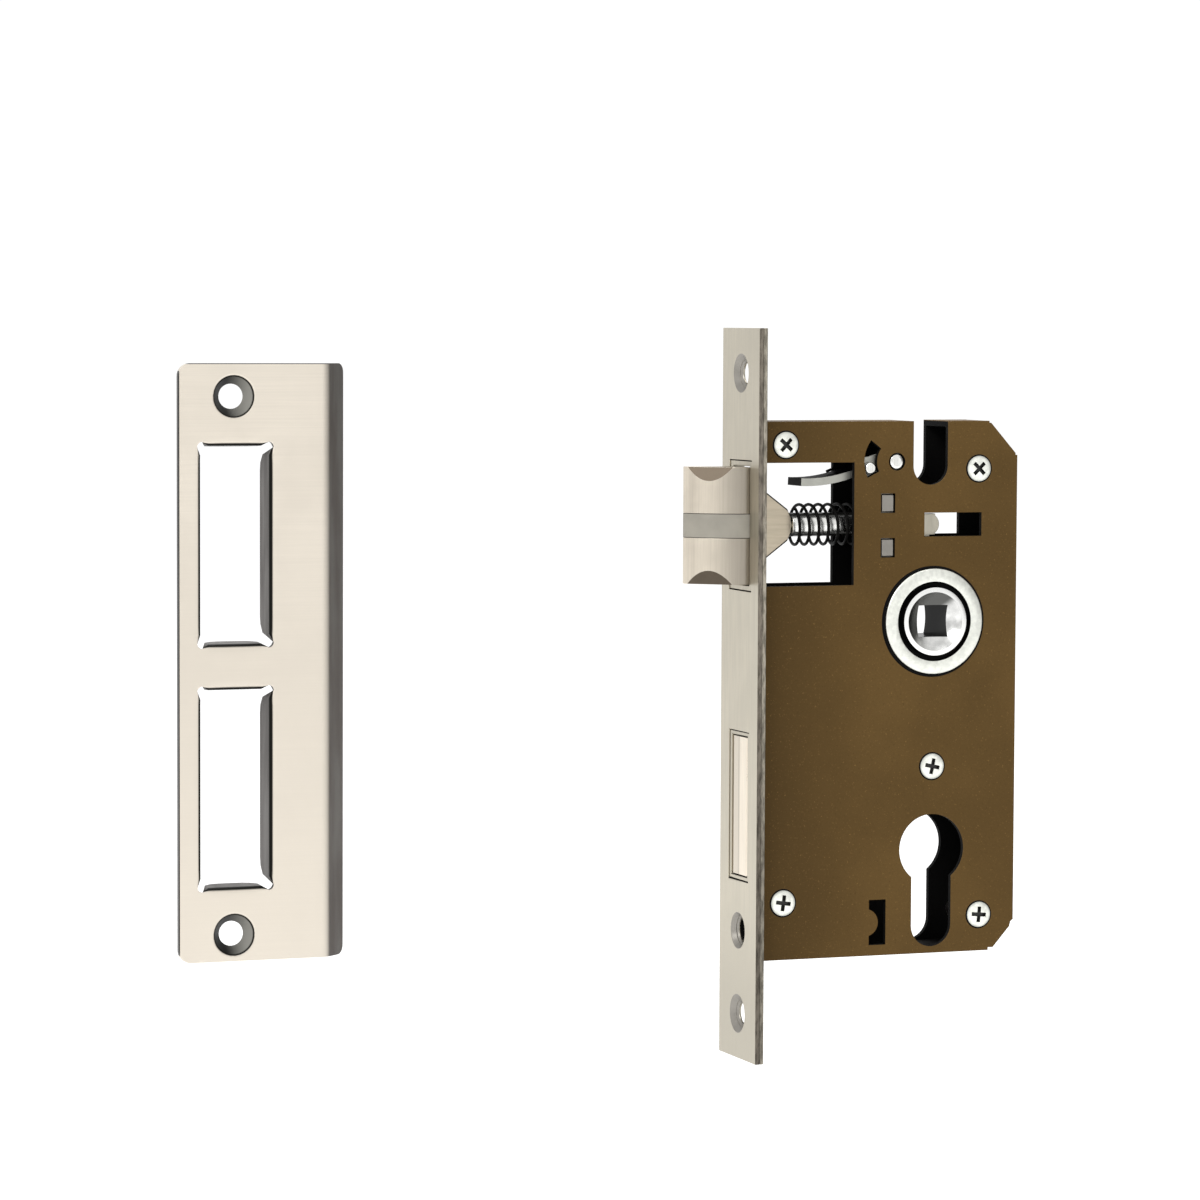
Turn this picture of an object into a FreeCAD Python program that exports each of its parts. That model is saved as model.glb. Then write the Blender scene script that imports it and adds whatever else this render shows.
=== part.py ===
import FreeCAD, Part
from FreeCAD import Vector
from math import acos, atan2, cos, degrees, hypot, pi, radians, sin, sqrt, tan
import os

# Euro-profile mortise lock with its strike plate, in millimetres.
# X runs from the forend's front face (x = 0) back into the door, Y across the door, Z up.
# z = 0 is the middle of the forend and y = 0 the middle of the case's thickness.
# The cover plate is on the -Y side.

# ---- driving dimensions -------------------------------------------------------------------
# forend
forend_length = 184.0
forend_width = 24.0
outer_forend_thickness = 1.2
inner_forend_thickness = 1.0
forend_screw_spacing = 161.4
forend_screw_r = 2.6
forend_screw_head_r = 4.9
forend_sink_depth = 1.7
cylinder_screw_z = -59.6
cylinder_screw_r = 3.1
cylinder_screw_head_r = 4.6

# case
case_top = 68.7
case_bottom = -66.6
case_rear = 73.1
case_thickness = 15.0
sheet = 1.5
top_corner_run = 7.9
top_corner_drop = 8.7
bottom_corner_run = 7.0
bottom_corner_rise = 7.7
corner_step = 0.5
low_corner_step = 0.7
low_corner_land = 1.4
bend_relief = 0.9

# what the lock is ordered by
backset = 50.0
follower_z = 18.0
centre_distance = 58.0
spindle_square = 8.0

# openings in the case plates
window_rear = 27.9
window_low = 27.5
window_high = 58.4
handle_slot_x = 48.9
handle_slot_width = 9.5
handle_slot_low = 52.6
tail_slot = (47.3, 63.2, 39.5, 45.5)
profile_r = 8.9
profile_tail_width = 11.0
profile_low = -64.9
bottom_slot = (32.8, 37.4, -63.9, -52.4)
bottom_tab_r = 3.5
bottom_tab_reach = 2.5

# case screws, countersunk, on threaded posts
screw_places = ((9.2, 62.9), (62.4, 56.6), (50.0, -18.9), (9.2, -52.2), (63.4, -57.3))
screw_head_r = 3.25
screw_shank_r = 1.5
screw_head_height = 1.4
screw_head_dome = 0.3
screw_cross = (2.0, 0.5, 0.9)
screw_turns = (42, 45, 12, 8, 5)
screw_length = 6.5
post_r = 3.0
post_spigot_r = 1.9

# latch
latch_z = 42.6
latch_height = 29.4
latch_thickness = 10.5
latch_projection = 13.4
latch_bulge = 2.0
latch_tip_land = 1.1
latch_back = 3.7
latch_travel = 13.3
insert_height = 6.1
insert_groove = (1.5, 2.2, -6.0)
ground_from = (-12.85, 3.22)
ground_to = (-3.9, -4.25)
ground_lean = 0.29
web_thickness = 4.0
web_height = 18.6
web_tip_height = 8.0
web_length = 9.5
rod_r = 3.0
rod_neck_r = 1.7
rod_end_r = 2.0
rod_shoulder = 41.5
spring_wire_r = 0.5
spring_mean_r = 4.95
spring_coils = 5.5

# follower
follower_turn = 45.0
journal_r = 9.95
boss_r = journal_r - 1.05
core_r = journal_r + 1.05
cam_disc_r = 14.0
cam_thickness = 6.0
bush_flange_r = 13.9
bush_collar_r = journal_r + 1.55
bush_flange_thickness = 0.8
boss_stand = 1.2
spring_arm_reach = 17.6

# deadbolt
bolt_z = -28.0
bolt_height = 35.0
bolt_thickness = 10.0
bolt_length = 31.7
bolt_recess = 0.3
tail_thickness = 3.0
tail_rear = 69.0
tail_low = -30.0
cam_notch = (55.5, 65.5, 5.4)

# reversing catch
catch_x = 39.6
catch_z = 58.5
catch_width = 8.7
catch_strip = 2.0
catch_tip_x = 14.7
catch_pin_place = (32.5, 56.9)
catch_pin_r = 1.45
catch_lift = 20.0

# strike plate
strike_left = -147.5
strike_flat = 36.9
strike_low = -60.3
strike_height = 143.5
strike_thickness = 1.8
strike_lip = 7.2
strike_lip_angle = 40.0
strike_corner_r = 3.0
strike_hole_x = -133.8
strike_hole_high = 75.3
strike_hole_low = -53.9
strike_window_x = (-142.6, -124.2)
strike_window_high = (15.5, 64.5)
strike_window_low = (-43.0, 5.7)

# rod, carriage and guide of the latch
carriage_lug = 2.0
clip_thickness = 0.8
clip_groove_r = 1.5
clip_r = 3.1
pad_x = backset + 2.3
pad_thickness = 2.2
tongue_x = 51.3
guide_x = (33.3, 40.0)
tenons = ((37.2, latch_z + 5.45, 3.2, 4.2), (37.2, latch_z - 5.8, 3.2, 4.2))
web_tenon_x = 1.9
web_tenon_half = 5.0

# bolts' guides, studs, rivets and stump
bolster_flange = 1.2
catch_pivot_r = 2.0
return_stud_place = (24.0, 11.0)
return_stud_r = 3.2
tumbler_stud_place = (14.0, -1.0)
tumbler_stud_r = 1.9
stud_spigot_r = 1.5
rivet_r = 1.6
stump_r = 1.5

# clearances
slide_clearance = 0.25
face_gap = 0.4
running = 0.05
pin_gap = 0.25
sheet_gap = 0.2
tenon_gap = 0.35

# ---- places that follow from the dimensions -------------------------------------------------
forend_thickness = outer_forend_thickness + inner_forend_thickness
half_case = case_thickness / 2.0
inner_y = half_case - sheet
cylinder_z = follower_z - centre_distance
involute_r = latch_travel / radians(follower_turn)
latch_half = latch_thickness / 2.0
flange_back = forend_thickness + sheet
latch_flange_half = latch_height / 2.0 + 2.3
bolt_flange_half = bolt_height / 2.0 + 2.6
latch_window = (latch_half + 2.0, latch_height / 2.0 + 1.7)
bolt_window = (bolt_thickness / 2.0 + 1.5, bolt_height / 2.0 + 1.4)
catch_step_x = catch_tip_x - latch_travel - 0.7
catch_step_z = latch_z + web_height / 2.0 + 0.2
cam_half = cam_thickness / 2.0
carriage_y = (-inner_y + face_gap + 0.3, -cam_half - 0.3)
pad_low = follower_z + cam_disc_r + 0.6
bolt_rear = bolt_recess + bolt_length
bolt_slot_x = bolt_rear - 12.0
rivet_places = ((bolt_rear - 6.0, bolt_z + 6.0), (bolt_rear - 6.0, bolt_z - 6.0))
tail_half = tail_thickness / 2.0
tumbler_y = (tail_half + 0.3, tail_half + 2.3)
stump_place = (27.0, bolt_z + bolt_height / 2.0 + 0.4 + stump_r)

os.makedirs("parts", exist_ok=True)


# ---- small helpers --------------------------------------------------------------------------
def box(x0, x1, y0, y1, z0, z1):
    """A box from its lowest to its highest corner."""
    return Part.makeBox(x1 - x0, y1 - y0, z1 - z0, Vector(x0, y0, z0))


def cyl_y(x, z, r, y0, y1):
    """A cylinder whose axis runs along Y."""
    return Part.makeCylinder(r, y1 - y0, Vector(x, y0, z), Vector(0, 1, 0))


def cyl_x(y, z, r, x0, x1):
    """A cylinder whose axis runs along X."""
    return Part.makeCylinder(r, x1 - x0, Vector(x0, y, z), Vector(1, 0, 0))


def cone_y(x, z, r0, r1, y0, y1):
    """A cone along Y, with radius r0 at y0 and r1 at y1."""
    return Part.makeCone(r0, r1, y1 - y0, Vector(x, y0, z), Vector(0, 1, 0))


def cone_x(y, z, r0, r1, x0, x1):
    """A cone along X, with radius r0 at x0 and r1 at x1."""
    return Part.makeCone(r0, r1, x1 - x0, Vector(x0, y, z), Vector(1, 0, 0))


def prism_y(outline, y0, y1):
    """A closed outline of (x, z) points, carried along Y."""
    points = [Vector(x, y0, z) for x, z in outline]
    face = Part.Face(Part.makePolygon(points + points[:1]))
    return face.extrude(Vector(0, y1 - y0, 0))


def prism_z(edges, z0, z1):
    """A closed chain of edges in the plane z = z0, carried up to z1."""
    return Part.Face(Part.Wire(edges)).extrude(Vector(0, 0, z1 - z0))


def turned_y(profile, x, z):
    """A solid of revolution about a Y axis through (x, z), from (radius, y) points."""
    points = [Vector(x + r, y, z) for r, y in profile]
    face = Part.Face(Part.makePolygon(points + points[:1]))
    return face.revolve(Vector(x, 0, z), Vector(0, 1, 0), 360)


def slot_y(x, z_low, z_high, width, y0, y1):
    """An upright slot with a round bottom at z_low and a square top at z_high."""
    r = width / 2.0
    block = box(x - r, x + r, y0, y1, z_low + r, z_high)
    return block.fuse(cyl_y(x, z_low + r, r, y0, y1))


def upright_edges(solid, x):
    """The edges along Z that lie at the given x."""
    found = []
    for edge in solid.Edges:
        a, b = edge.Vertexes[0].Point, edge.Vertexes[-1].Point
        if hypot(a.x - b.x, a.y - b.y) > 1e-6 or abs(a.z - b.z) < 1e-6:
            continue
        if abs(a.x - x) < 1e-6:
            found.append(edge)
    return found


def save(shape, node):
    """Writes one sub-part, with leftover seams removed."""
    shape = shape.removeSplitter()
    assert shape.isValid(), node
    shape.exportStep("parts/" + node + ".step")


def torsion_spring(x, z, mean_r, wire_r, y_start, pitch, turns, tip_in, tip_out):
    """A coil about a Y axis with two straight legs that leave it as tangents.

    The wire comes from tip_in, goes round the axis from X towards Z while y falls,
    and leaves for tip_out. Both tips are (x, z) points.
    """
    def bearing(tip, sign):
        reach = hypot(tip[0] - x, tip[1] - z)
        return atan2(tip[1] - z, tip[0] - x) + sign * acos(mean_r / reach)

    first = bearing(tip_in, 1)
    last = bearing(tip_out, -1)
    sweep = (last - first) % (2 * pi) + 2 * pi * turns
    drop = pitch * sweep / (2 * pi)
    coil = Part.makeHelix(pitch, drop, mean_r).Edges
    start, end = Vector(mean_r, 0, 0), Vector(mean_r * cos(sweep), mean_r * sin(sweep), drop)
    rise = pitch / (2 * pi * mean_r)
    leg_in = Vector(0, 1, rise) * sqrt(hypot(tip_in[0] - x, tip_in[1] - z) ** 2 - mean_r ** 2)
    leg_out = Vector(-sin(sweep), cos(sweep), rise)
    leg_out = leg_out * sqrt(hypot(tip_out[0] - x, tip_out[1] - z) ** 2 - mean_r ** 2)
    path = Part.Wire([Part.makeLine(start - leg_in, start)] + coil
                     + [Part.makeLine(end, end + leg_out)])
    ring = Part.Wire([Part.makeCircle(wire_r, start - leg_in, leg_in)])
    spring = path.makePipeShell([ring], True, False)
    spring.rotate(Vector(0, 0, 0), Vector(0, 0, 1), degrees(first))
    spring.rotate(Vector(0, 0, 0), Vector(1, 0, 0), 90)
    spring.translate(Vector(x, y_start, z))
    return spring


# ---- case -----------------------------------------------------------------------------------
def case_outline():
    """The outline of both plates, with its two cropped rear corners."""
    top_x = case_rear - top_corner_run
    low_x = case_rear - bottom_corner_run
    return [
        (forend_thickness, case_bottom),
        (low_x, case_bottom),
        (low_x, case_bottom + low_corner_step),
        (low_x + low_corner_land, case_bottom + low_corner_step),
        (case_rear - 1.0, case_bottom + bottom_corner_rise - 1.8),
        (case_rear - low_corner_step, case_bottom + bottom_corner_rise - 0.6),
        (case_rear, case_bottom + bottom_corner_rise),
        (case_rear, case_top - top_corner_drop),
        (case_rear - corner_step, case_top - top_corner_drop),
        (case_rear - corner_step, case_top - top_corner_drop + corner_step),
        (top_x + corner_step, case_top - corner_step),
        (top_x, case_top - corner_step),
        (top_x, case_top),
        (forend_thickness, case_top),
    ]


def inner_outline():
    """The outline of the space inside the tray's walls, without the corner steps."""
    slant = sheet * 1.5
    low = case_bottom + sheet
    high = case_top - sheet
    rear = case_rear - sheet
    return [
        (flange_back, low),
        (case_rear - bottom_corner_run - corner_step, low),
        (rear - corner_step, case_bottom + bottom_corner_rise - corner_step + slant - sheet),
        (rear, case_bottom + bottom_corner_rise + slant),
        (rear, case_top - top_corner_drop - slant),
        (rear - corner_step, case_top - top_corner_drop - slant + sheet),
        (case_rear - top_corner_run - corner_step, high),
        (flange_back, high),
    ]


def bolster_notches(y0, y1):
    """Where the two bolsters' flanges come through the front of the case."""
    notches = []
    for z, half in ((latch_z, latch_flange_half), (bolt_z, bolt_flange_half)):
        edge = half + sheet_gap
        notches.append(box(forend_thickness - 1, flange_back, y0, y1, z - edge, z + edge))
    return notches


def plate_openings(y0, y1):
    """The openings that go through both plates."""
    tail_centre = profile_low + profile_tail_width / 2.0
    profile = cyl_y(backset, cylinder_z, profile_r, y0, y1)
    half_tail = profile_tail_width / 2.0
    profile = profile.fuse(box(backset - half_tail, backset + half_tail, y0, y1,
                               tail_centre, cylinder_z))
    profile = profile.fuse(cyl_y(backset, tail_centre, half_tail, y0, y1))
    x0, x1, z0, z1 = tail_slot
    openings = [
        box(forend_thickness - 1, window_rear, y0, y1, window_low, window_high),
        slot_y(handle_slot_x, handle_slot_low, case_top + 1, handle_slot_width, y0, y1),
        box(x0, x1, y0, y1, z0, z1),
        profile,
        cyl_y(backset, follower_z, bush_collar_r, y0, y1),
        cyl_y(catch_x, catch_z, catch_pivot_r + pin_gap, y0, y1),
    ]
    for x, z, width, height in tenons:
        w, h = width / 2.0 + tenon_gap, height / 2.0 + tenon_gap
        openings.append(box(x - w, x + w, y0, y1, z - h, z + h))
    return openings


def make_case_tray():
    """Back plate with its front, top, rear, corner and bottom walls."""
    tray = prism_y(case_outline(), -inner_y, half_case)
    tray = tray.cut(prism_y(inner_outline(), -inner_y - 1, inner_y))
    y0, y1 = -half_case - 1, half_case + 1
    tray = tray.cut(bolster_notches(y0, y1) + plate_openings(y0, y1))
    relief = [
        box(case_rear - top_corner_run - corner_step, case_rear - top_corner_run
            + bend_relief - corner_step, -inner_y - 1, inner_y, case_top - 3 * sheet, case_top + 1),
        box(case_rear - 3 * sheet, case_rear + 1, -inner_y - 1, inner_y,
            case_top - top_corner_drop - corner_step,
            case_top - top_corner_drop - corner_step + bend_relief),
        box(case_rear - bottom_corner_run - corner_step, case_rear - bottom_corner_run
            + bend_relief - corner_step, -inner_y - 1, inner_y,
            case_bottom - 1, case_bottom + 3 * sheet),
        box(case_rear - 3 * sheet, case_rear + 1, -inner_y - 1, inner_y,
            case_bottom + bottom_corner_rise,
            case_bottom + bottom_corner_rise + bend_relief),
    ]
    holes = [cyl_y(x, z, post_spigot_r, inner_y - 1, half_case + 1) for x, z in screw_places]
    studs = [cyl_y(x, z, stud_spigot_r, inner_y - 1, half_case + 1)
             for x, z in (return_stud_place, tumbler_stud_place)]
    screw = cyl_x(0, cylinder_screw_z, cylinder_screw_r, 0, flange_back + 1)
    save(tray.cut(relief + holes + studs + [screw]), "case_tray")


def make_cover_plate():
    """Flat cover with countersinks, the catch pin's arc slot and the tabbed bottom slot."""
    y0, y1 = -half_case - 1, -inner_y + 1
    cover = prism_y(case_outline(), -half_case, -inner_y)
    cover = cover.cut(bolster_notches(y0, y1) + plate_openings(y0, y1))
    sinks = []
    for x, z in screw_places:
        sinks.append(cyl_y(x, z, screw_shank_r + sheet_gap, y0, y1))
        rim = screw_head_r + sheet_gap
        sinks.append(cone_y(x, z, rim, rim - screw_head_height, -half_case,
                            -half_case + screw_head_height))
    x0, x1, z0, z1 = bottom_slot
    slot = box(x0, x1, y0, y1, z0, z1)
    tab = cyl_y(x0 + bottom_tab_reach - bottom_tab_r, (z0 + z1) / 2.0, bottom_tab_r, y0, y1)
    arc = catch_arc_slot(y0, y1)
    save(cover.cut(sinks + [slot.cut(tab), arc]), "cover_plate")


def catch_arc_slot(y0, y1):
    """A slot round the catch's pivot that lets its pin rise with the finger."""
    px, pz = catch_pin_place
    reach = hypot(px - catch_x, pz - catch_z)
    half = catch_pin_r + pin_gap + 0.05
    ring = cyl_y(catch_x, catch_z, reach + half, y0, y1)
    ring = ring.cut(cyl_y(catch_x, catch_z, reach - half, y0 - 1, y1 + 1))
    low = pi + atan2(catch_z - pz, catch_x - px) + half / reach
    high = low - radians(catch_lift) - 2.0 * half / reach - radians(16)
    far = reach * 3
    steps = 6
    fan = [(catch_x, catch_z)]
    for i in range(steps + 1):
        angle = low + (high - low) * i / steps
        fan.append((catch_x + far * cos(angle), catch_z + far * sin(angle)))
    return ring.common(prism_y(fan, y0 - 1, y1 + 1))


def make_case_screws():
    """Five raised countersunk screws with cross recesses."""
    solids = []
    head_y = -half_case
    arm, wide, deep = screw_cross
    for (x, z), turn in zip(screw_places, screw_turns):
        profile = [
            (0, head_y - screw_head_dome),
            (screw_head_r * 0.55, head_y - screw_head_dome * 0.72),
            (screw_head_r, head_y),
            (screw_shank_r, head_y + screw_head_height),
            (screw_shank_r, head_y + screw_length - 0.6),
            (screw_shank_r - 0.6, head_y + screw_length),
            (0, head_y + screw_length),
        ]
        screw = turned_y(profile, x, z)
        low = head_y - 1
        cross = box(x - arm, x + arm, low, head_y + deep, z - wide, z + wide)
        cross = cross.fuse(box(x - wide, x + wide, low, head_y + deep, z - arm, z + arm))
        cross.rotate(Vector(x, 0, z), Vector(0, 1, 0), turn)
        solids.append(screw.cut(cross))
    save(Part.makeCompound(solids), "case_screws")


def make_screw_posts():
    """Five threaded posts, riveted into the back plate."""
    solids = []
    for x, z in screw_places:
        post = cyl_y(x, z, post_r, -inner_y, inner_y)
        post = post.fuse(cyl_y(x, z, post_spigot_r, inner_y, half_case))
        solids.append(post.cut(cyl_y(x, z, screw_shank_r, -inner_y - 1, 0.5)))
    save(Part.makeCompound(solids), "screw_posts")


# ---- forend and bolsters --------------------------------------------------------------------
def forend_layer(x0, x1):
    """One full-length layer of the forend with its two bolt windows."""
    half_w, half_l = forend_width / 2.0, forend_length / 2.0
    layer = box(x0, x1, -half_w, half_w, -half_l, half_l)
    for z, (hy, hz) in ((latch_z, latch_window), (bolt_z, bolt_window)):
        layer = layer.cut(box(x0 - 1, x1 + 1, -hy, hy, z - hz, z + hz))
    return layer


def make_forends():
    """The outer face plate with dished screw holes, and the plate behind it."""
    outer = forend_layer(0, outer_forend_thickness)
    inner = forend_layer(outer_forend_thickness, forend_thickness)
    ends = (forend_screw_spacing / 2.0, -forend_screw_spacing / 2.0)
    sites = [(z, forend_screw_r, forend_screw_head_r) for z in ends]
    sites.append((cylinder_screw_z, cylinder_screw_r, cylinder_screw_head_r))
    for z, hole_r, head_r in sites:
        hole = cyl_x(0, z, hole_r, -1, forend_thickness + 1)
        sink = cone_x(0, z, head_r, hole_r, 0, forend_sink_depth)
        outer = outer.cut([hole, sink])
        inner = inner.cut([hole, sink])
    save(outer, "outer_forend")
    save(inner, "inner_forend")


def bolster(z, half_y, half_z, window, flange_half):
    """A guide for a bolt: a collar that fills the forend's window and a flange behind it."""
    collar_y, collar_z = window[0] - sheet_gap, window[1] - sheet_gap
    collar = box(0.25, forend_thickness, -collar_y, collar_y, z - collar_z, z + collar_z)
    flange = box(forend_thickness, forend_thickness + bolster_flange, -half_case, half_case,
                 z - flange_half, z + flange_half)
    way = box(-1, flange_back + 1, -half_y - slide_clearance, half_y + slide_clearance,
              z - half_z - slide_clearance, z + half_z + slide_clearance)
    return collar.fuse(flange).cut(way)


def make_bolsters():
    """The latch's and the deadbolt's guides."""
    save(bolster(latch_z, latch_half, latch_height / 2.0, latch_window, latch_flange_half),
         "latch_bolster")
    save(bolster(bolt_z, bolt_thickness / 2.0, bolt_height / 2.0, bolt_window,
                 bolt_flange_half), "bolt_bolster")


# ---- latch ----------------------------------------------------------------------------------
def latch_profile_edges(z):
    """The latch head seen from above: straight far side, narrow tip and a bulging bevel."""
    back = Vector(latch_back, latch_half, z)
    tip_far = Vector(-latch_projection, latch_half, z)
    tip_near = Vector(-latch_projection, latch_half - latch_tip_land, z)
    bevel_end = Vector(0.0, -latch_half, z)
    near = Vector(latch_back, -latch_half, z)
    chord = bevel_end - tip_near
    normal = Vector(chord.y, -chord.x, 0).normalize()
    middle = (tip_near + bevel_end) * 0.5 + normal * latch_bulge
    return [
        Part.makeLine(back, tip_far),
        Part.makeLine(tip_far, tip_near),
        Part.Arc(tip_near, middle, bevel_end).toShape(),
        Part.makeLine(bevel_end, near),
        Part.makeLine(near, back),
    ]


def latch_corner_wedge(side):
    """What is ground off the bevel's upper (1) or lower (-1) end, past a chord of its bulge."""
    a, b = Vector(*ground_from, 0), Vector(*ground_to, 0)
    along = (b - a).normalize()
    outward = Vector(along.y, -along.x, 0)
    face_z = latch_z + side * latch_height / 2.0
    reach, spare = 6.0, 5.0
    section = [(-ground_lean, 1.0), (reach, 1.0), (reach, -reach / ground_lean)]
    start = a - along * spare
    points = [start + outward * s + Vector(0, 0, face_z + side * h) for s, h in section]
    wire = Part.makePolygon(points + points[:1])
    return Part.Face(wire).extrude(along * ((b - a).Length + 2 * spare))


def make_latch_head():
    """The bevelled head and the nylon band let into it."""
    low, high = latch_z - latch_height / 2.0, latch_z + latch_height / 2.0
    whole = prism_z(latch_profile_edges(low), low, high)
    whole = whole.cut([latch_corner_wedge(1), latch_corner_wedge(-1)])
    step = box(catch_step_x, latch_back + 1, -latch_half - 1, latch_half + 1,
               catch_step_z, high + 1)
    whole = whole.cut(step)
    half = insert_height / 2.0
    groove_x, groove_y, tip_x = insert_groove
    groove = box(-latch_projection - 1, groove_x, -latch_half - 1, groove_y,
                 latch_z - half, latch_z + half)
    groove = groove.fuse(box(-latch_projection - 1, tip_x, -latch_half - 1, latch_half + 1,
                             latch_z - half, latch_z + half))
    tenon = box(web_tenon_x, latch_back + 1, -web_thickness / 2.0, web_thickness / 2.0,
                latch_z - web_tenon_half, latch_z + web_tenon_half)
    save(whole.cut([groove, tenon]), "latch_head")
    save(whole.common(groove), "latch_insert")


def make_latch_web():
    """The tapered tail behind the head that the rod is fixed in."""
    half, tip = web_height / 2.0, web_tip_height / 2.0
    rear = latch_back + web_length
    shoulder = latch_back + 1.2
    neck = rear - 1.2
    y0, y1 = -web_thickness / 2.0, web_thickness / 2.0
    outline = [
        (latch_back, latch_z - half),
        (shoulder, latch_z - half),
        (neck, latch_z - tip),
        (rear - 0.3, latch_z - tip * 0.5),
        (rear, latch_z),
        (rear - 0.3, latch_z + tip * 0.5),
        (neck, latch_z + tip),
        (shoulder, latch_z + half),
        (latch_back, latch_z + half),
    ]
    web = prism_y(outline, y0, y1)
    tenon = box(web_tenon_x, latch_back, y0, y1, latch_z - web_tenon_half,
                latch_z + web_tenon_half)
    bore = cyl_x(0, latch_z, rod_neck_r, rear - 7.0, rear + 1)
    save(web.fuse(tenon).cut(bore), "latch_tail")


def make_latch_rod():
    """The rod from the tail to the carriage, necked at both ends."""
    rear = latch_back + web_length
    rod = cyl_x(0, latch_z, rod_r, rear, rod_shoulder)
    rod = rod.fuse(cyl_x(0, latch_z, rod_neck_r, rear - 7.0, rear))
    end = rod_shoulder + carriage_lug + 1.6
    rod = rod.fuse(cyl_x(0, latch_z, rod_end_r, rod_shoulder, end))
    clip_x = rod_shoulder + carriage_lug
    groove = cyl_x(0, latch_z, rod_end_r + 1, clip_x, clip_x + clip_thickness)
    groove = groove.cut(cyl_x(0, latch_z, clip_groove_r, clip_x - 1, clip_x + 2))
    save(rod.cut(groove), "latch_rod")
    clip = cyl_x(0, latch_z, clip_r, clip_x, clip_x + clip_thickness)
    mouth = box(clip_x - 1, clip_x + 2, -1.2, 1.2, latch_z - 5, latch_z - 0.4)
    clip = clip.cut([cyl_x(0, latch_z, clip_groove_r, clip_x - 1, clip_x + 2), mouth])
    save(clip, "rod_clip")


def make_latch_carriage():
    """The folded plate that the follower's lobe pushes: lug, side plate, tongue and pad."""
    y0, y1 = carriage_y
    reach = cam_half + 0.3
    lug_rear = rod_shoulder + carriage_lug
    lug_low, lug_high = latch_z - 4.1, latch_z + 4.1
    pad_rear = pad_x + pad_thickness
    pad_high = tail_slot[2] - 1.2
    tongue_low, tongue_high = tail_slot[2] + 0.3, tail_slot[3] - 0.3
    tongue_z = (tongue_low + tongue_high) / 2.0
    side = prism_y([
        (rod_shoulder, lug_low),
        (lug_rear + 2.5, lug_low),
        (lug_rear + 4.5, pad_low),
        (pad_rear, pad_low),
        (pad_rear, pad_high),
        (pad_x - 2.6, pad_high),
        (pad_x - 2.6, tongue_low),
        (tongue_x, tongue_low),
        (tongue_x, tongue_high),
        (lug_rear + 2.5, tongue_high),
        (lug_rear + 0.5, lug_high),
        (rod_shoulder, lug_high),
    ], y0, y1)
    nose = cyl_y(tongue_x - 1.6, tongue_z, (tongue_high - tongue_low) / 2.0, y0, y1)
    nose = nose.common(box(tongue_x - 0.5, tongue_x + 3, y0, y1, tongue_low, tongue_high))
    lug = box(rod_shoulder, lug_rear, y1, reach, lug_low, lug_high)
    pad = box(pad_x, pad_rear, y1, reach, pad_low, pad_high)
    bore = cyl_x(0, latch_z, rod_end_r, rod_shoulder - 1, lug_rear + 1)
    save(side.fuse([nose, lug, pad]).cut(bore), "latch_carriage")


def make_latch_guide():
    """The block that guides the rod, held by its tenons in both plates."""
    x0, x1 = guide_x
    z0, z1 = latch_z - 8.4, latch_z + 8.2
    guide = box(x0, x1, -inner_y, inner_y, z0, z1)
    for x, z, width, height in tenons:
        guide = guide.fuse(box(x - width / 2.0, x + width / 2.0, -half_case + 0.2,
                               half_case - 0.2, z - height / 2.0, z + height / 2.0))
    save(guide.cut(cyl_x(0, latch_z, rod_r + running, x0 - 1, x1 + 1)), "latch_guide")


def make_latch_spring():
    """The coil spring round the rod, and the washer at its rear end."""
    washer = cyl_x(0, latch_z, 5.6, guide_x[0] - 0.8, guide_x[0])
    washer = washer.cut(cyl_x(0, latch_z, rod_r + 0.3, guide_x[0] - 2, guide_x[0] + 1))
    save(washer, "spring_washer")
    start = latch_back + web_length + spring_wire_r + 0.1
    length = guide_x[0] - 0.8 - spring_wire_r - 0.1 - start
    helix = Part.makeHelix(length / spring_coils, length, spring_mean_r)
    ring = Part.Wire([Part.makeCircle(spring_wire_r, Vector(spring_mean_r, 0, 0),
                                      Vector(0, 1, 0))])
    coil = Part.Wire(helix.Edges).makePipeShell([ring], True, True)
    coil.rotate(Vector(0, 0, 0), Vector(0, 1, 0), 90)
    coil.translate(Vector(start, 0, latch_z))
    save(coil, "latch_spring")


# ---- follower -------------------------------------------------------------------------------
def make_follower_hub():
    """The hub with its journals, dished bosses and square hole."""
    boss_end = half_case + boss_stand
    journal_end = half_case - 0.3
    core_end = inner_y - face_gap
    dish_r, dish_deep = boss_r - 1.2, 2.4
    square = spindle_square / 2.0
    hole_r = square * sqrt(2) * 0.98
    half = [(hole_r, boss_end - dish_deep), (dish_r, boss_end), (boss_r, boss_end),
            (boss_r, journal_end), (journal_r, journal_end), (journal_r, core_end),
            (core_r, core_end)]
    profile = [(0, -boss_end + dish_deep)] + [(r, -y) for r, y in half]
    profile += [(r, y) for r, y in reversed(half)] + [(0, boss_end - dish_deep)]
    hub = turned_y(profile, backset, follower_z)
    hole = box(backset - square, backset + square, -boss_end - 1, boss_end + 1,
               follower_z - square, follower_z + square)
    hub = hub.cut(hole)
    key = box(backset - 2, backset + 2, -cam_half, cam_half,
              follower_z - core_r - 1.2, follower_z - core_r + 1.5)
    save(hub.fuse(key), "follower_hub")


def involute_points(count):
    """The lobe's working curve at rest, from its base circle to its tip."""
    start = (pad_x - 0.3 - backset) / involute_r
    last = start + radians(follower_turn)
    points = []
    for i in range(count + 1):
        roll = last * i / count
        turn = roll - start
        x, z = involute_r * roll, involute_r
        points.append(Vector(backset + x * cos(turn) - z * sin(turn), -cam_half,
                             follower_z + x * sin(turn) + z * cos(turn)))
    return points


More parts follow.
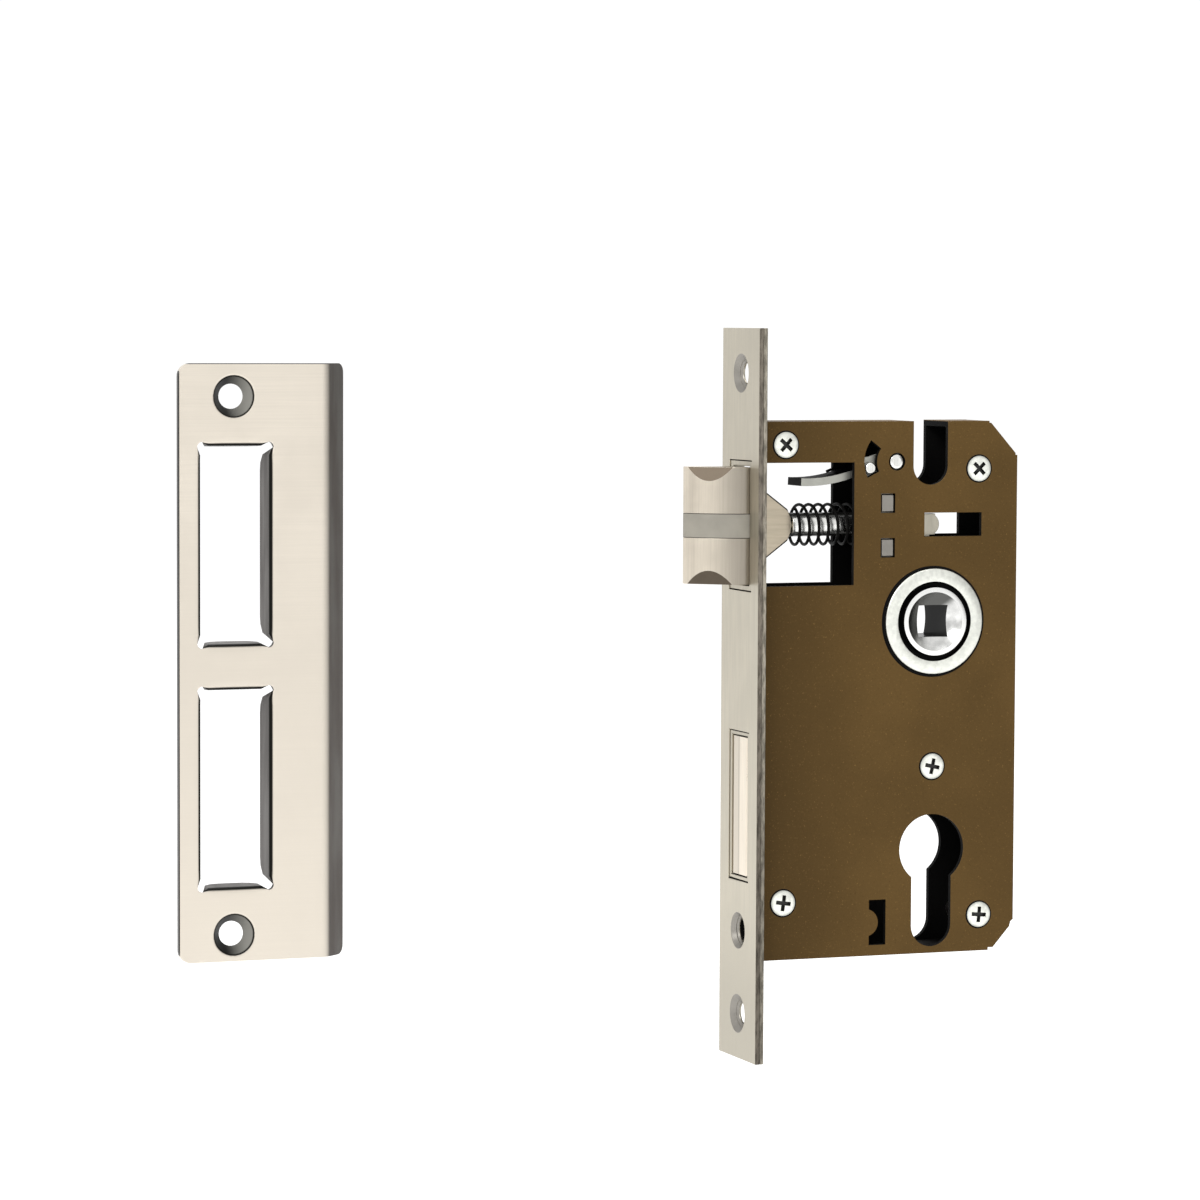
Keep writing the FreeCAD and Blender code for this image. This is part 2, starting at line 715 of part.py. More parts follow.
def make_follower_cam():
    """The steel cam on the hub: an involute lobe above and a spring arm in front."""
    curve = Part.BSplineCurve()
    points = involute_points(8)
    curve.interpolate(points)
    tip = points[-1]
    base = points[0]
    land = 1.3
    tip_r = hypot(tip.x - backset, tip.z - follower_z)
    back_angle = atan2(tip.z - follower_z, tip.x - backset) + land / tip_r
    back = Vector(backset + tip_r * cos(back_angle), -cam_half,
                  follower_z + tip_r * sin(back_angle))
    root_angle = radians(125)
    root = Vector(backset + 0.97 * cam_disc_r * cos(root_angle), -cam_half,
                  follower_z + 0.97 * cam_disc_r * sin(root_angle))
    centre = Vector(backset, -cam_half, follower_z)
    lobe_edges = [curve.toShape(), Part.makeLine(tip, back), Part.makeLine(back, root),
                  Part.makeLine(root, centre), Part.makeLine(centre, base)]
    lobe = Part.Face(Part.Wire(lobe_edges)).extrude(Vector(0, cam_thickness, 0))
    arm_low, arm_high = follower_z - 2.2, follower_z + 1.6
    arm_tip = backset - spring_arm_reach
    arm = box(arm_tip + 1.9, backset, -cam_half, cam_half, arm_low, arm_high)
    arm = arm.fuse(cyl_y(arm_tip + 1.9, (arm_low + arm_high) / 2.0,
                         (arm_high - arm_low) / 2.0, -cam_half, cam_half))
    cam = cyl_y(backset, follower_z, cam_disc_r, -cam_half, cam_half).fuse([lobe, arm])
    bore = cyl_y(backset, follower_z, core_r, -cam_half - 1, cam_half + 1)
    key = box(backset - 2, backset + 2, -cam_half - 1, cam_half + 1,
              follower_z - core_r - 1.2, follower_z - core_r + 2)
    save(cam.cut([bore, key]), "follower_cam")


def make_follower_bushes():
    """The flanged bushes that the hub's journals turn in."""
    for node, side in (("follower_bush_front", -1), ("follower_bush_back", 1)):
        bore = journal_r + running
        y_in, y_face = inner_y, half_case
        profile = [(bore, y_in), (bush_collar_r, y_in), (bush_collar_r, y_face),
                   (bush_flange_r, y_face), (bush_flange_r, y_face + bush_flange_thickness * 0.5),
                   (bush_flange_r - 0.8, y_face + bush_flange_thickness),
                   (bore + 0.6, y_face + bush_flange_thickness),
                   (bore, y_face + bush_flange_thickness * 0.5)]
        save(turned_y([(r, side * y) for r, y in profile], backset, follower_z), node)


def make_spring_studs():
    """The studs that carry the follower's spring and the tumbler's spring."""
    for node, (x, z), r in (("return_spring_stud", return_stud_place, return_stud_r),
                            ("tumbler_spring_stud", tumbler_stud_place, tumbler_stud_r)):
        stud = cyl_y(x, z, r, -inner_y + face_gap, inner_y)
        save(stud.fuse(cyl_y(x, z, stud_spigot_r, inner_y, half_case)), node)


def make_return_spring():
    """The follower's torsion spring: one leg on its arm, one on the front wall."""
    wire = 0.6
    x, z = return_stud_place
    rest = (backset - spring_arm_reach + 3.2, follower_z + 1.6 + wire + 0.9)
    save(torsion_spring(x, z, 4.6, wire, 2.2, 1.3, 3, rest, (flange_back + 1.0, z - 7)),
         "follower_return_spring")


# ---- deadbolt -------------------------------------------------------------------------------
def make_deadbolt():
    """The bolt head, its tail plate and the rivets that join them."""
    half_y, half_z = bolt_thickness / 2.0, bolt_height / 2.0
    head = box(bolt_recess, bolt_rear, -half_y, half_y, bolt_z - half_z, bolt_z + half_z)
    head = head.makeFillet(1.3, upright_edges(head, bolt_recess))
    slot = box(bolt_slot_x, bolt_rear + 1, -tail_half, tail_half, bolt_z - 12,
               bolt_z + half_z - 1.2)
    rivets = [cyl_y(x, z, rivet_r, -half_y, half_y) for x, z in rivet_places]
    save(head.cut([slot] + rivets), "deadbolt_head")
    neck_x = backset - post_r - 2.0
    top = bolt_z + bolt_height / 2.0 - 1.5
    arm_top = screw_places[2][1] - post_r - 0.4
    tail = prism_y([
        (bolt_slot_x, bolt_z - 11.5),
        (bolt_rear + 1.0, bolt_z - 11.5),
        (bolt_rear + 1.0, tail_low),
        (cam_notch[0], tail_low),
        (cam_notch[0], tail_low + cam_notch[2]),
        (cam_notch[1], tail_low + cam_notch[2]),
        (cam_notch[1], tail_low),
        (tail_rear, tail_low),
        (tail_rear, arm_top),
        (neck_x, arm_top),
        (neck_x, top),
        (bolt_slot_x, top),
    ], -tail_half, tail_half)
    save(tail.cut(rivets), "deadbolt_tail")
    save(Part.makeCompound(rivets), "deadbolt_rivets")


# ---- bolt tumbler ---------------------------------------------------------------------------
def make_tumbler():
    """The lever over the bolt, turning on the middle screw post, and its stump."""
    y0, y1 = tumbler_y
    px, pz = screw_places[2]
    sx, sz = stump_place
    arm = prism_y([
        (px + 2.0, pz + 4.5),
        (px - 10.0, sz + 2.4),
        (sx - 2.0, sz + 2.4),
        (sx - 2.8, sz + 1.2),
        (sx - 2.8, sz - 1.4),
        (px - 12.0, sz - 1.4),
        (px - 4.0, pz - 2.0),
    ], y0, y1)
    belly = prism_y([(px - 4.5, pz), (px + 4.5, pz), (px + 3.2, pz - 8.8), (px - 3.2, pz - 8.8)],
                    y0, y1)
    lever = cyl_y(px, pz, 5.5, y0, y1).fuse([arm, belly])
    bore = cyl_y(px, pz, post_r + running, y0 - 1, y1 + 1)
    stump = cyl_y(sx, sz, stump_r, -tail_half - 0.5, y1)
    save(lever.cut([bore, stump]), "bolt_tumbler")
    save(stump, "tumbler_stump")


def make_tumbler_spring():
    """The light torsion spring that holds the tumbler down."""
    wire = 0.4
    x, z = tumbler_stud_place
    sx, sz = stump_place
    middle = (tumbler_y[0] + tumbler_y[1]) / 2.0
    rest = (sx + 2.0, sz + 2.4 + wire + 0.1)
    save(torsion_spring(x, z, 2.9, wire, middle, 0.9, 3, rest, (flange_back + 0.8, z - 5)),
         "tumbler_spring")


# ---- reversing catch ------------------------------------------------------------------------
def make_catch():
    """The curved finger with its barrel and ear, its pin, and the pivot it turns on."""
    half = catch_width / 2.0
    barrel_r = 4.0
    lower = catch_step_z + 0.35
    tip_z = lower + catch_strip / 2.0
    mid = [Vector(catch_tip_x, -half, tip_z), Vector(21.5, -half, tip_z + 0.3),
           Vector(28.6, -half, tip_z + 1.9)]
    bend = Part.Arc(*mid).toShape().Curve
    c, r = bend.Center, bend.Radius
    low_arc, high_arc = [], []
    for p in mid:
        out = (p - c).normalize()
        low_arc.append(c + out * (r + catch_strip / 2.0))
        high_arc.append(c + out * (r - catch_strip / 2.0))
    joint = Vector(catch_x - 2.0, -half, catch_z - 1.2)
    run = (joint - mid[2]).normalize()
    side = Vector(-run.z, 0, run.x) * (catch_strip / 2.0)
    end_high, end_low = joint + side, joint - side
    edges = [Part.Arc(*low_arc).toShape(), Part.makeLine(low_arc[2], end_low),
             Part.makeLine(end_low, end_high), Part.makeLine(end_high, high_arc[2]),
             Part.Arc(*reversed(high_arc)).toShape(), Part.makeLine(high_arc[0], low_arc[0])]
    strip = Part.Face(Part.Wire(edges)).extrude(Vector(0, catch_width, 0))
    coil_y = 1.3
    strip = strip.cut(box(catch_x - barrel_r - 0.6, catch_x + 5, coil_y, half + 1,
                          catch_z - 6, catch_z + 6))
    barrel = cyl_y(catch_x, catch_z, barrel_r, -half, coil_y)
    px, pz = catch_pin_place
    ear_y = -half - 1.2
    ear = cyl_y(catch_x, catch_z, barrel_r, ear_y, -half)
    ear = ear.fuse(cyl_y(px, pz, 2.9, ear_y, -half))
    ear = ear.fuse(prism_y([(px, pz - 2.9), (catch_x, catch_z - barrel_r + 0.3),
                            (catch_x, catch_z + barrel_r - 0.3), (px, pz + 2.9)],
                           ear_y, -half))
    pin = cyl_y(px, pz, catch_pin_r, -half_case + 0.3, -half)
    bore = cyl_y(catch_x, catch_z, catch_pivot_r + running, -half_case, half_case)
    save(strip.fuse([barrel, ear]).cut([bore, pin]), "reversing_catch")
    save(pin, "catch_pin")
    tip = 0.5
    pivot = cyl_y(catch_x, catch_z, catch_pivot_r, -half_case + tip, half_case - tip)
    pivot = pivot.fuse([
        cone_y(catch_x, catch_z, catch_pivot_r - tip, catch_pivot_r,
               -half_case + 0.1, -half_case + tip),
        cone_y(catch_x, catch_z, catch_pivot_r, catch_pivot_r - tip,
               half_case - tip, half_case - 0.1)])
    save(pivot, "catch_pivot")
    wire = 0.35
    top_of_strip = tip_z + 0.75 + catch_strip / 2.0
    leg_on_strip = (24.0, top_of_strip + wire + 0.3)
    leg_on_wall = (catch_x + 2.9, case_top - sheet - wire - 0.05)
    save(torsion_spring(catch_x, catch_z, 3.1, wire, 5.15, 0.8, 3, leg_on_wall, leg_on_strip),
         "catch_spring")


# ---- strike plate ---------------------------------------------------------------------------
def make_strike_plate():
    """The folded plate for the frame: two windows with turned-in sides and a bent lip."""
    front = -half_case
    back = front + strike_thickness
    right = strike_left + strike_flat
    high = strike_low + strike_height
    plate = box(strike_left, right, front, back, strike_low, high)
    corner = [e for e in plate.Edges
              if abs(e.Vertexes[0].Point.y - e.Vertexes[-1].Point.y) > 1
              and abs(e.Vertexes[0].Point.x - strike_left) < 1e-6]
    plate = plate.makeFillet(strike_corner_r, corner)
    lean = radians(strike_lip_angle)
    along = Vector(cos(lean), sin(lean), 0)
    inward = Vector(-sin(lean), cos(lean), 0)
    a = Vector(right, front, strike_low)
    bend_back = Vector(right - strike_thickness * tan(lean / 2), back, strike_low)
    tip = a + along * strike_lip
    section = [a, tip, tip + inward * strike_thickness, bend_back]
    lip = Part.Face(Part.makePolygon(section + section[:1])).extrude(
        Vector(0, 0, strike_height))
    tip_edges = [e for e in lip.Edges if abs(e.Vertexes[0].Point.z - e.Vertexes[-1].Point.z)
                 < 1e-6 and e.Vertexes[0].Point.x > tip.x - 2 and e.Vertexes[-1].Point.x
                 > tip.x - 2]
    lip = lip.makeFillet(2.2, tip_edges)
    plate = plate.fuse(lip)
    x0, x1 = strike_window_x
    for z0, z1 in (strike_window_high, strike_window_low):
        plate = plate.cut(box(x0, x1, front - 1, back + 1, z0, z1))
        plate = plate.fuse([turned_side(x0, -1, z0, z1, back), turned_side(x1, 1, z0, z1, back)])
    for z in (strike_hole_high, strike_hole_low):
        plate = plate.fuse(cone_y(strike_hole_x, z, 5.9, 4.0, front + 0.2, front + 3.2))
        plate = plate.cut([cone_y(strike_hole_x, z, 5.0, 2.85, front, front + 2.2),
                           cyl_y(strike_hole_x, z, 2.85, front - 1, front + 5)])
    save(plate, "strike_plate")


def turned_side(x, side, z0, z1, back):
    """A window's side, turned back into the frame, with tapered ends."""
    reach, taper, relief = 4.6, 2.6, 1.6
    outer = x + side * strike_thickness
    low, high = z0 + relief, z1 - relief
    points = [Vector(x, back - 0.6, low), Vector(x, back - 0.6, high),
              Vector(x, back + reach, high - taper), Vector(x, back + reach, low + taper)]
    face = Part.Face(Part.makePolygon(points + points[:1]))
    return face.extrude(Vector(outer - x, 0, 0))


make_case_tray()
make_cover_plate()
make_case_screws()
make_screw_posts()
make_forends()
make_bolsters()
make_latch_head()
make_latch_web()
make_latch_rod()
make_latch_carriage()
make_latch_guide()
make_latch_spring()
make_follower_hub()
make_follower_cam()
make_follower_bushes()
make_spring_studs()
make_return_spring()
make_deadbolt()
make_tumbler()
make_tumbler_spring()
make_catch()
make_strike_plate()
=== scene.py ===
"""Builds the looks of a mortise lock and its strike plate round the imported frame."""

import math

import bmesh
import bpy
import numpy as np
from mathutils import Matrix, Vector


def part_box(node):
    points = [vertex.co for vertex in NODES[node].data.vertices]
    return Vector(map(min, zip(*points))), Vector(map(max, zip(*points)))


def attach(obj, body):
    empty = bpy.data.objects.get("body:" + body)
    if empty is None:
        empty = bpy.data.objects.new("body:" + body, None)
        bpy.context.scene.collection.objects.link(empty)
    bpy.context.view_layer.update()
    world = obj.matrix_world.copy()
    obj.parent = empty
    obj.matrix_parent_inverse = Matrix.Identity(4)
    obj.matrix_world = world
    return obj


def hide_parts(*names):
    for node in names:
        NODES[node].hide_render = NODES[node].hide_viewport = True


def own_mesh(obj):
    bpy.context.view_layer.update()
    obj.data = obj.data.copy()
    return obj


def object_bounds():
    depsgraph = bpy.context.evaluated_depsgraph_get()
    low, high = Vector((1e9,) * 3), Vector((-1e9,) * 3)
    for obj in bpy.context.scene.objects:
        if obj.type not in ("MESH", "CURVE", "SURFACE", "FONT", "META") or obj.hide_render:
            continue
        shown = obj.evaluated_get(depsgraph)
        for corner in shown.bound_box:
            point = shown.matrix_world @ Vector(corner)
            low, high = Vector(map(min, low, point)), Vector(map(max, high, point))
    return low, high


bl_info = {
    "name": "Mortise lock and strike plate",
    "version": (1, 0, 0),
    "blender": (4, 5, 0),
    "location": "3D View > Sidebar > Mortise lock",
    "description": "Builds the looks of a euro-profile mortise lock round its fixed frame",
    "category": "Object",
}

MM = 0.001
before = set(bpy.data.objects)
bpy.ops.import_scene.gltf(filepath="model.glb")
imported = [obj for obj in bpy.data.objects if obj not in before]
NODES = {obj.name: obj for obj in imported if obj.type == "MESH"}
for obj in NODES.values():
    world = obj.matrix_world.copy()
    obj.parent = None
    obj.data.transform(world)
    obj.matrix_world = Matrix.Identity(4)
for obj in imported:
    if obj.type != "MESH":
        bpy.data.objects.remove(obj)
CAD_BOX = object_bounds()


# Places in the frame, in millimetres. A pair is (x, z), and a window's is its lower and upper z.
FOLLOWER = (50.0, 18.0)
LATCH_Z = 42.6
SCREWS = ((9.2, 62.9), (62.4, 56.6), (50.0, -18.9), (9.2, -52.2), (63.4, -57.3))
STRIKE_SCREWS = ((-133.8, -53.9), (-133.8, 75.3))
STRIKE_WINDOWS = ((-43.4, 6.1), (15.1, 64.5))
WINDOW_SIDES = (-142.9, -123.9)

# The strike plate's section: its flat and its lip meet at this angle.
STRIKE_FLAT = 36.9
STRIKE_LIP = 7.2
LIP_TURN = math.radians(40.0)


def corners_mm(node):
    """The lowest and the highest corner of a node's box at rest, in millimetres."""
    return [np.array(corner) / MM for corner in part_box(node)[:2]]


# ---- sizes and colours a user may change ----
def length_property(name, description, default, low, high):
    """A length the user may change, with its default and its limits in millimetres."""
    return bpy.props.FloatProperty(name=name, description=description, unit="LENGTH",
                                   default=default * MM, min=low * MM, max=high * MM)


class LockSizes(bpy.types.PropertyGroup):
    """Sizes of the details that the frame doesn't fix."""

    softness: length_property(
        "Edge softness", "Width of the bevel on stamped edges", 0.16, 0.0, 0.5)
    cast_softness: length_property(
        "Cast edge softness", "Width of the bevel on the bolts' edges", 0.3, 0.0, 0.8)
    spring_turns: bpy.props.FloatProperty(
        name="Latch spring turns", description="Turns of the coil round the latch's rod",
        default=7.0, min=3.0, max=9.0)
    spring_wire: length_property(
        "Latch spring wire", "Radius of the latch spring's wire", 0.4, 0.2, 0.8)
    dish_depth: length_property(
        "Hub dish", "Depth the hub's dish would have at its centre", 3.4, 1.0, 4.0)
    strike_sheet: length_property(
        "Strike sheet", "Thickness of the strike plate's sheet", 1.5, 0.8, 1.8)
    strike_bend: length_property(
        "Strike bend", "Outer radius of the strike plate's lip bend", 4.0, 1.6, 5.0)
    window_bend: length_property(
        "Window bend", "Outer radius where a window's side is turned back", 1.0, 0.5, 2.0)


def colour_property(name, description, default):
    """A colour the user may change, in linear red, green and blue."""
    return bpy.props.FloatVectorProperty(
        name=name, description=description, subtype="COLOR", size=3, min=0.0, max=1.0,
        default=default)


class LockColours(bpy.types.PropertyGroup):
    """Colours of the lock's finishes."""

    bronze: colour_property("Bronze paint", "Paint on the case", (0.102, 0.060, 0.0195))
    zinc: colour_property("Zinc", "Screws and follower bushes", (0.74, 0.75, 0.69))
    forend: colour_property("Forend", "Satin stainless face", (0.495, 0.456, 0.371))
    nickel: colour_property("Satin nickel", "Latch and deadbolt heads", (0.40, 0.36, 0.30))
    steel: colour_property("Plain steel", "Stamped parts inside", (0.27, 0.255, 0.23))
    nylon: colour_property("Nylon", "Band in the latch head", (0.235, 0.22, 0.185))
    tan: colour_property("Tinted nickel", "Tail behind the latch head", (0.47, 0.41, 0.315))
    bright: colour_property("Ground steel", "Rod and pins", (0.82, 0.82, 0.79))
    black: colour_property("Blackened steel", "Springs and the catch", (0.004, 0.0038, 0.0035))
    chrome: colour_property("Chrome", "Follower hub", (0.85, 0.85, 0.83))
    strike: colour_property("Brushed stainless", "Strike plate", (0.72, 0.66, 0.57))


# ---- shader maths ----
class Value:
    """A node's output that takes part in sums: each operator adds one Math node."""

    def __init__(self, finish, socket):
        self.finish, self.socket = finish, socket

    def _sum(self, operation, first, second=0.0):
        return self.finish.node("ShaderNodeMath", {"operation": operation},
                                {0: first, 1: second})

    def __add__(self, other):
        return self._sum("ADD", self, other)

    __radd__ = __add__

    def __sub__(self, other):
        return self._sum("SUBTRACT", self, other)

    def __rsub__(self, other):
        return self._sum("SUBTRACT", other, self)

    def __mul__(self, other):
        return self._sum("MULTIPLY", self, other)

    __rmul__ = __mul__

    def __truediv__(self, other):
        return self._sum("DIVIDE", self, other)

    def __rtruediv__(self, other):
        return self._sum("DIVIDE", other, self)

    def __abs__(self):
        return self._sum("ABSOLUTE", self)

    def below(self, limit):
        """1 where the value is under the limit, else 0."""
        return self._sum("LESS_THAN", self, limit)

    def above(self, limit):
        """1 where the value is over the limit, else 0."""
        return self._sum("GREATER_THAN", self, limit)

    def between(self, low, high):
        """A smooth rise from 0 at low to 1 at high."""
        return self.finish.node(
            "ShaderNodeMapRange", {"interpolation_type": "SMOOTHSTEP"},
            {"Value": self, "From Min": low, "From Max": high})


class Finish:
    """A material, or another owner of nodes, being put together."""

    def __init__(self, name, owner=None, coordinates="Object"):
        self.material = owner or bpy.data.materials.new(name)
        self.material.use_nodes = True
        self.tree = self.material.node_tree
        self.tree.nodes.clear()
        self.place = self.node("ShaderNodeTexCoord", output=coordinates)

    def node(self, kind, settings=None, sockets=None, output=0):
        """Adds one node: its settings first, then its sockets' values or links."""
        node = self.tree.nodes.new(kind)
        for key, value in (settings or {}).items():
            setattr(node, key, value)
        for key, value in (sockets or {}).items():
            if isinstance(value, Value):
                self.tree.links.new(value.socket, node.inputs[key])
            else:
                node.inputs[key].default_value = value
        return Value(self, node.outputs[output]) if len(node.outputs) else None

    def axes(self):
        """The three object coordinates, in metres."""
        x = self.node("ShaderNodeSeparateXYZ", sockets={0: self.place})
        outputs = x.socket.node.outputs
        return [Value(self, outputs[i]) for i in range(3)]

    def disc(self, x, z, radius):
        """1 within a radius of a line along Y through (x, z), all in mm: dx^2 + dz^2 < r^2."""
        here_x, _, here_z = self.axes()
        dx, dz = here_x - x * MM, here_z - z * MM
        return (dx * dx + dz * dz).below((radius * MM) ** 2)

    def grain(self, scale, detail=2.0, stretch=(1.0, 1.0, 1.0), rough=0.5):
        """Noise of a given scale per metre, stretched along the axes."""
        where = self.node("ShaderNodeMapping", sockets={"Vector": self.place, "Scale": stretch})
        return self.node("ShaderNodeTexNoise", sockets={
            "Vector": where, "Scale": scale, "Detail": detail, "Roughness": rough})

    def mix(self, share, first, second):
        """A colour between two others."""
        first, second = [c if isinstance(c, Value) else (*c, 1.0) for c in (first, second)]
        return self.node("ShaderNodeMix", {"data_type": "RGBA"},
                         {0: share, 6: first, 7: second}, 2)

    def bump(self, height, depth, strength=1.0):
        """A normal tilted by a height map, whose full rise is depth metres."""
        return self.node("ShaderNodeBump", sockets={
            "Strength": strength, "Distance": depth, "Height": height}, output="Normal")

    def shade(self, colour, roughness, metallic=1.0, normal=None, specular=None, glow=None):
        """Ends the material with its surface shader, and returns the material."""
        sockets = {"Base Color": colour, "Roughness": roughness, "Metallic": metallic}
        if not isinstance(colour, Value):
            sockets["Base Color"] = (*colour, 1.0)
        if normal is not None:
            sockets["Normal"] = normal
        if specular is not None:
            sockets["Specular IOR Level"] = specular
        if glow is not None:
            sockets["Emission Color"] = (1.0, 1.0, 1.0, 1.0)
            sockets["Emission Strength"] = glow
        surface = self.node("ShaderNodeBsdfPrincipled", sockets=sockets)
        self.node("ShaderNodeOutputMaterial", sockets={"Surface": surface})
        return self.material


def tint(colour, factor):
    """A colour made lighter or darker."""
    return tuple(min(1.0, c * factor) for c in colour)


# ---- finishes ----
def inside_case(finish):
    """1 on what lies between the case's outer faces, which gets black painted shade, else 0."""
    x, y, z = finish.axes()
    low, high = corners_mm("cover_plate")
    inside = abs(y).below(7.4 * MM) * x.below((high[0] - 0.15) * MM)
    inside = inside * z.below((high[2] - 0.15) * MM) * z.above((low[2] + 0.15) * MM)
    top_run, top_drop = 7.6, 8.4
    low_run, low_rise = 5.2, 6.3
    top = (x - (high[0] - top_run) * MM) / (top_run * MM) \
        + (z - (high[2] - top_drop) * MM) / (top_drop * MM)
    bottom = (x - (high[0] - low_run) * MM) / (low_run * MM) \
        + ((low[2] + low_rise) * MM - z) / (low_rise * MM)
    return inside * top.below(0.97) * bottom.below(0.97)


def bronze_finish(colours):
    """Fine-textured bronze paint outside; painted shade makes it black inside and in the gaps
    round what it holds, and darker towards the forend.
    """
    finish = Finish("bronze_paint")
    x, y, _ = finish.axes()
    # Painted shadow: black rings round the follower's bush and the screw heads, on the cover side.
    gaps = finish.disc(FOLLOWER[0] - 0.2, FOLLOWER[1] - 0.05, 14.1)
    for screw_x, screw_z in SCREWS:
        gaps = gaps + finish.disc(screw_x - 0.08, screw_z, 3.6)
    # Painted shade: the case's inside and these rings are coloured near-black.
    dark = inside_case(finish) + gaps * y.below(0.0)
    dark = dark.between(0.0, 1.0)
    speck = finish.grain(2300.0, 3.0, rough=0.7)
    cloud = finish.grain(38.0, 2.0)
    paint = finish.mix(cloud.between(0.3, 0.7), tint(colours.bronze, 0.86),
                       tint(colours.bronze, 1.06))
    # Painted shade: the paint darkens towards the forend.
    paint = finish.mix(x.between(40 * MM, 2 * MM) * 0.85, paint, tint(colours.bronze, 0.6))
    paint = finish.mix(speck.between(0.6, 0.74) * 0.6, paint, tint(colours.bronze, 2.4))
    paint = finish.mix(speck.between(0.42, 0.28) * 0.45, paint, tint(colours.bronze, 0.4))
    colour = finish.mix(dark, paint, (0.0022, 0.002, 0.0018))
    rough = finish.grain(900.0, 2.0) * 0.16 + 0.42
    return finish.shade(colour, rough + dark * 0.3, (1 - dark) * 0.55,
                        finish.bump(speck, 0.012 * MM, 0.4), specular=0.1)


def satin_metal(name, colour, stretch, rough=0.3, streak=0.12, mottle=0.1, edge=None):
    """Brushed or satin metal whose grain runs along the axis with the smallest stretch."""
    finish = Finish(name)
    lines = finish.grain(1.0, 3.0, stretch, 0.62)
    cloud = finish.grain(55.0, 3.0)
    base = finish.mix(lines.between(0.25, 0.75), tint(colour, 1.0 - streak),
                      tint(colour, 1.0 + streak))
    base = finish.mix(cloud.between(0.35, 0.7) * mottle * 3.0, base, tint(colour, 0.86))
    if edge is not None:
        base = edge(finish, base)
    return finish.shade(base, lines * 0.16 + (rough - 0.08), 1.0,
                        finish.bump(lines, 0.01 * MM, 0.25))


def forend_edge(colour, half_width, low_colour):
    """The sheared long edges of a forend layer, darker and darker still towards the bottom, with torn
    streaks across, and the darker lower end of its face."""
    def paint(finish, base):
        _, y, z = finish.axes()
        torn = finish.grain(420.0, 4.0, (2.2, 1.0, 0.45), 0.7)
        low = z.between(30 * MM, -50 * MM)
        dark = finish.mix(low, tint(colour, 0.62), tint(colour, 0.38))
        pale = finish.mix(low, tint(colour, 1.5), tint(colour, 0.95))
        side = finish.mix(torn.between(0.36, 0.64), dark, pale)
        base = finish.mix(z.between(-45 * MM, -85 * MM), base, low_colour)
        return finish.mix(abs(y).above(half_width), base, side)
    return paint


def bolt_shine(colour):
    """The deadbolt's face: a painted highlight, brightest on the side next to the cover, with a
    painted brown shade line.
    """
    def paint(finish, base):
        y = finish.axes()[1]
        base = finish.mix(y.between(0.6 * MM, -0.6 * MM), tint(colour, 0.78), base)
        # Painted shade: a thin brown line across the face.
        return finish.mix(y.between(1.1 * MM, 0.7 * MM) * y.between(0.0 * MM, 0.5 * MM), base,
                          tint(colour, 0.6))
    return paint


def web_edge(colour):
    """Painted shade on the tail's sheared slants: a dark band where |z'| + slope * (x - shoulder)
    nears half.
    """
    def paint(finish, base):
        x, _, z = finish.axes()
        reach = abs(z - LATCH_Z * MM) + (x - 4.9 * MM) * 0.746
        return finish.mix(reach.above(8.85 * MM), base, colour)
    return paint


def plain_steel(name, colour, rough=0.42):
    """Stamped steel with a faint rolled mottle."""
    return satin_metal(name, colour, (260.0, 260.0, 260.0), rough, 0.1, 0.12)


def screw_finish(colours):
    """Bright zinc with black painted shade in the cross recess."""
    finish = Finish("zinc_screws")
    y = finish.axes()[1]
    cloud = finish.grain(700.0, 2.0)
    base = finish.mix(cloud.between(0.3, 0.7), colours.zinc, tint(colours.zinc, 1.25))
    # Painted shade: the cross recess is coloured near-black.
    recess = y.between(-7.62 * MM, -7.4 * MM)
    return finish.shade(finish.mix(recess, base, (0.02, 0.02, 0.018)),
                        cloud * 0.12 + 0.3, 1 - recess * 0.6,
                        finish.bump(cloud, 0.02 * MM, 0.3))


def bush_finish(colours):
    """Bright zinc with a milky bloom, and black painted shade down the bore and under the rim."""
    finish = Finish("zinc_bushes")
    cloud = finish.grain(900.0, 3.0)
    base = finish.mix(cloud.between(0.3, 0.72), tint(colours.zinc, 0.9),
                      tint(colours.zinc, 1.08))
    # Painted shade: outside the face ring, the bore and the step under the rim are near-black.
    face = finish.disc(*FOLLOWER, 13.37) - finish.disc(*FOLLOWER, 10.1)
    return finish.shade(finish.mix(face, (0.004, 0.004, 0.004), base), cloud * 0.12 + 0.3,
                        face * 0.85, finish.bump(cloud, 0.02 * MM, 0.3), specular=0.04)


def hub_finish(colours):
    """Polished chrome. The dish has a painted reflection of the dark door on its upper left, and
    the square hole and the groove outside the rim get black painted shade."""
    finish = Finish("chrome_hub")
    x, _, z = finish.axes()
    across, up = x - FOLLOWER[0] * MM, z - FOLLOWER[1] * MM
    hole = abs(across).below(4.04 * MM) * abs(up).below(4.04 * MM)
    groove = 1 - finish.disc(*FOLLOWER, 8.62)
    dish = finish.disc(*FOLLOWER, 7.45)
    # Painted reflection in the dish: dark grey on its upper left, pale chrome towards the lower right.
    slope = (across - up).between(-2.0 * MM, 1.5 * MM)
    cloud = finish.grain(500.0, 3.0)
    pale = finish.mix(cloud.between(0.3, 0.7), tint(colours.chrome, 0.62),
                      tint(colours.chrome, 0.8))
    lens = finish.mix(slope, (0.10, 0.10, 0.095), pale)
    base = finish.mix(dish, colours.chrome, lens)
    # Painted shade: the square hole and the groove outside the rim are near-black.
    base = finish.mix(hole, base, (0.016, 0.016, 0.015))
    base = finish.mix(groove, base, (0.002, 0.002, 0.002))
    dark = (hole + groove).between(0.0, 1.0)
    return finish.shade(base, cloud * 0.1 + 0.16, 1 - dark, finish.bump(cloud, 0.01 * MM, 0.2),
                        specular=0.03)


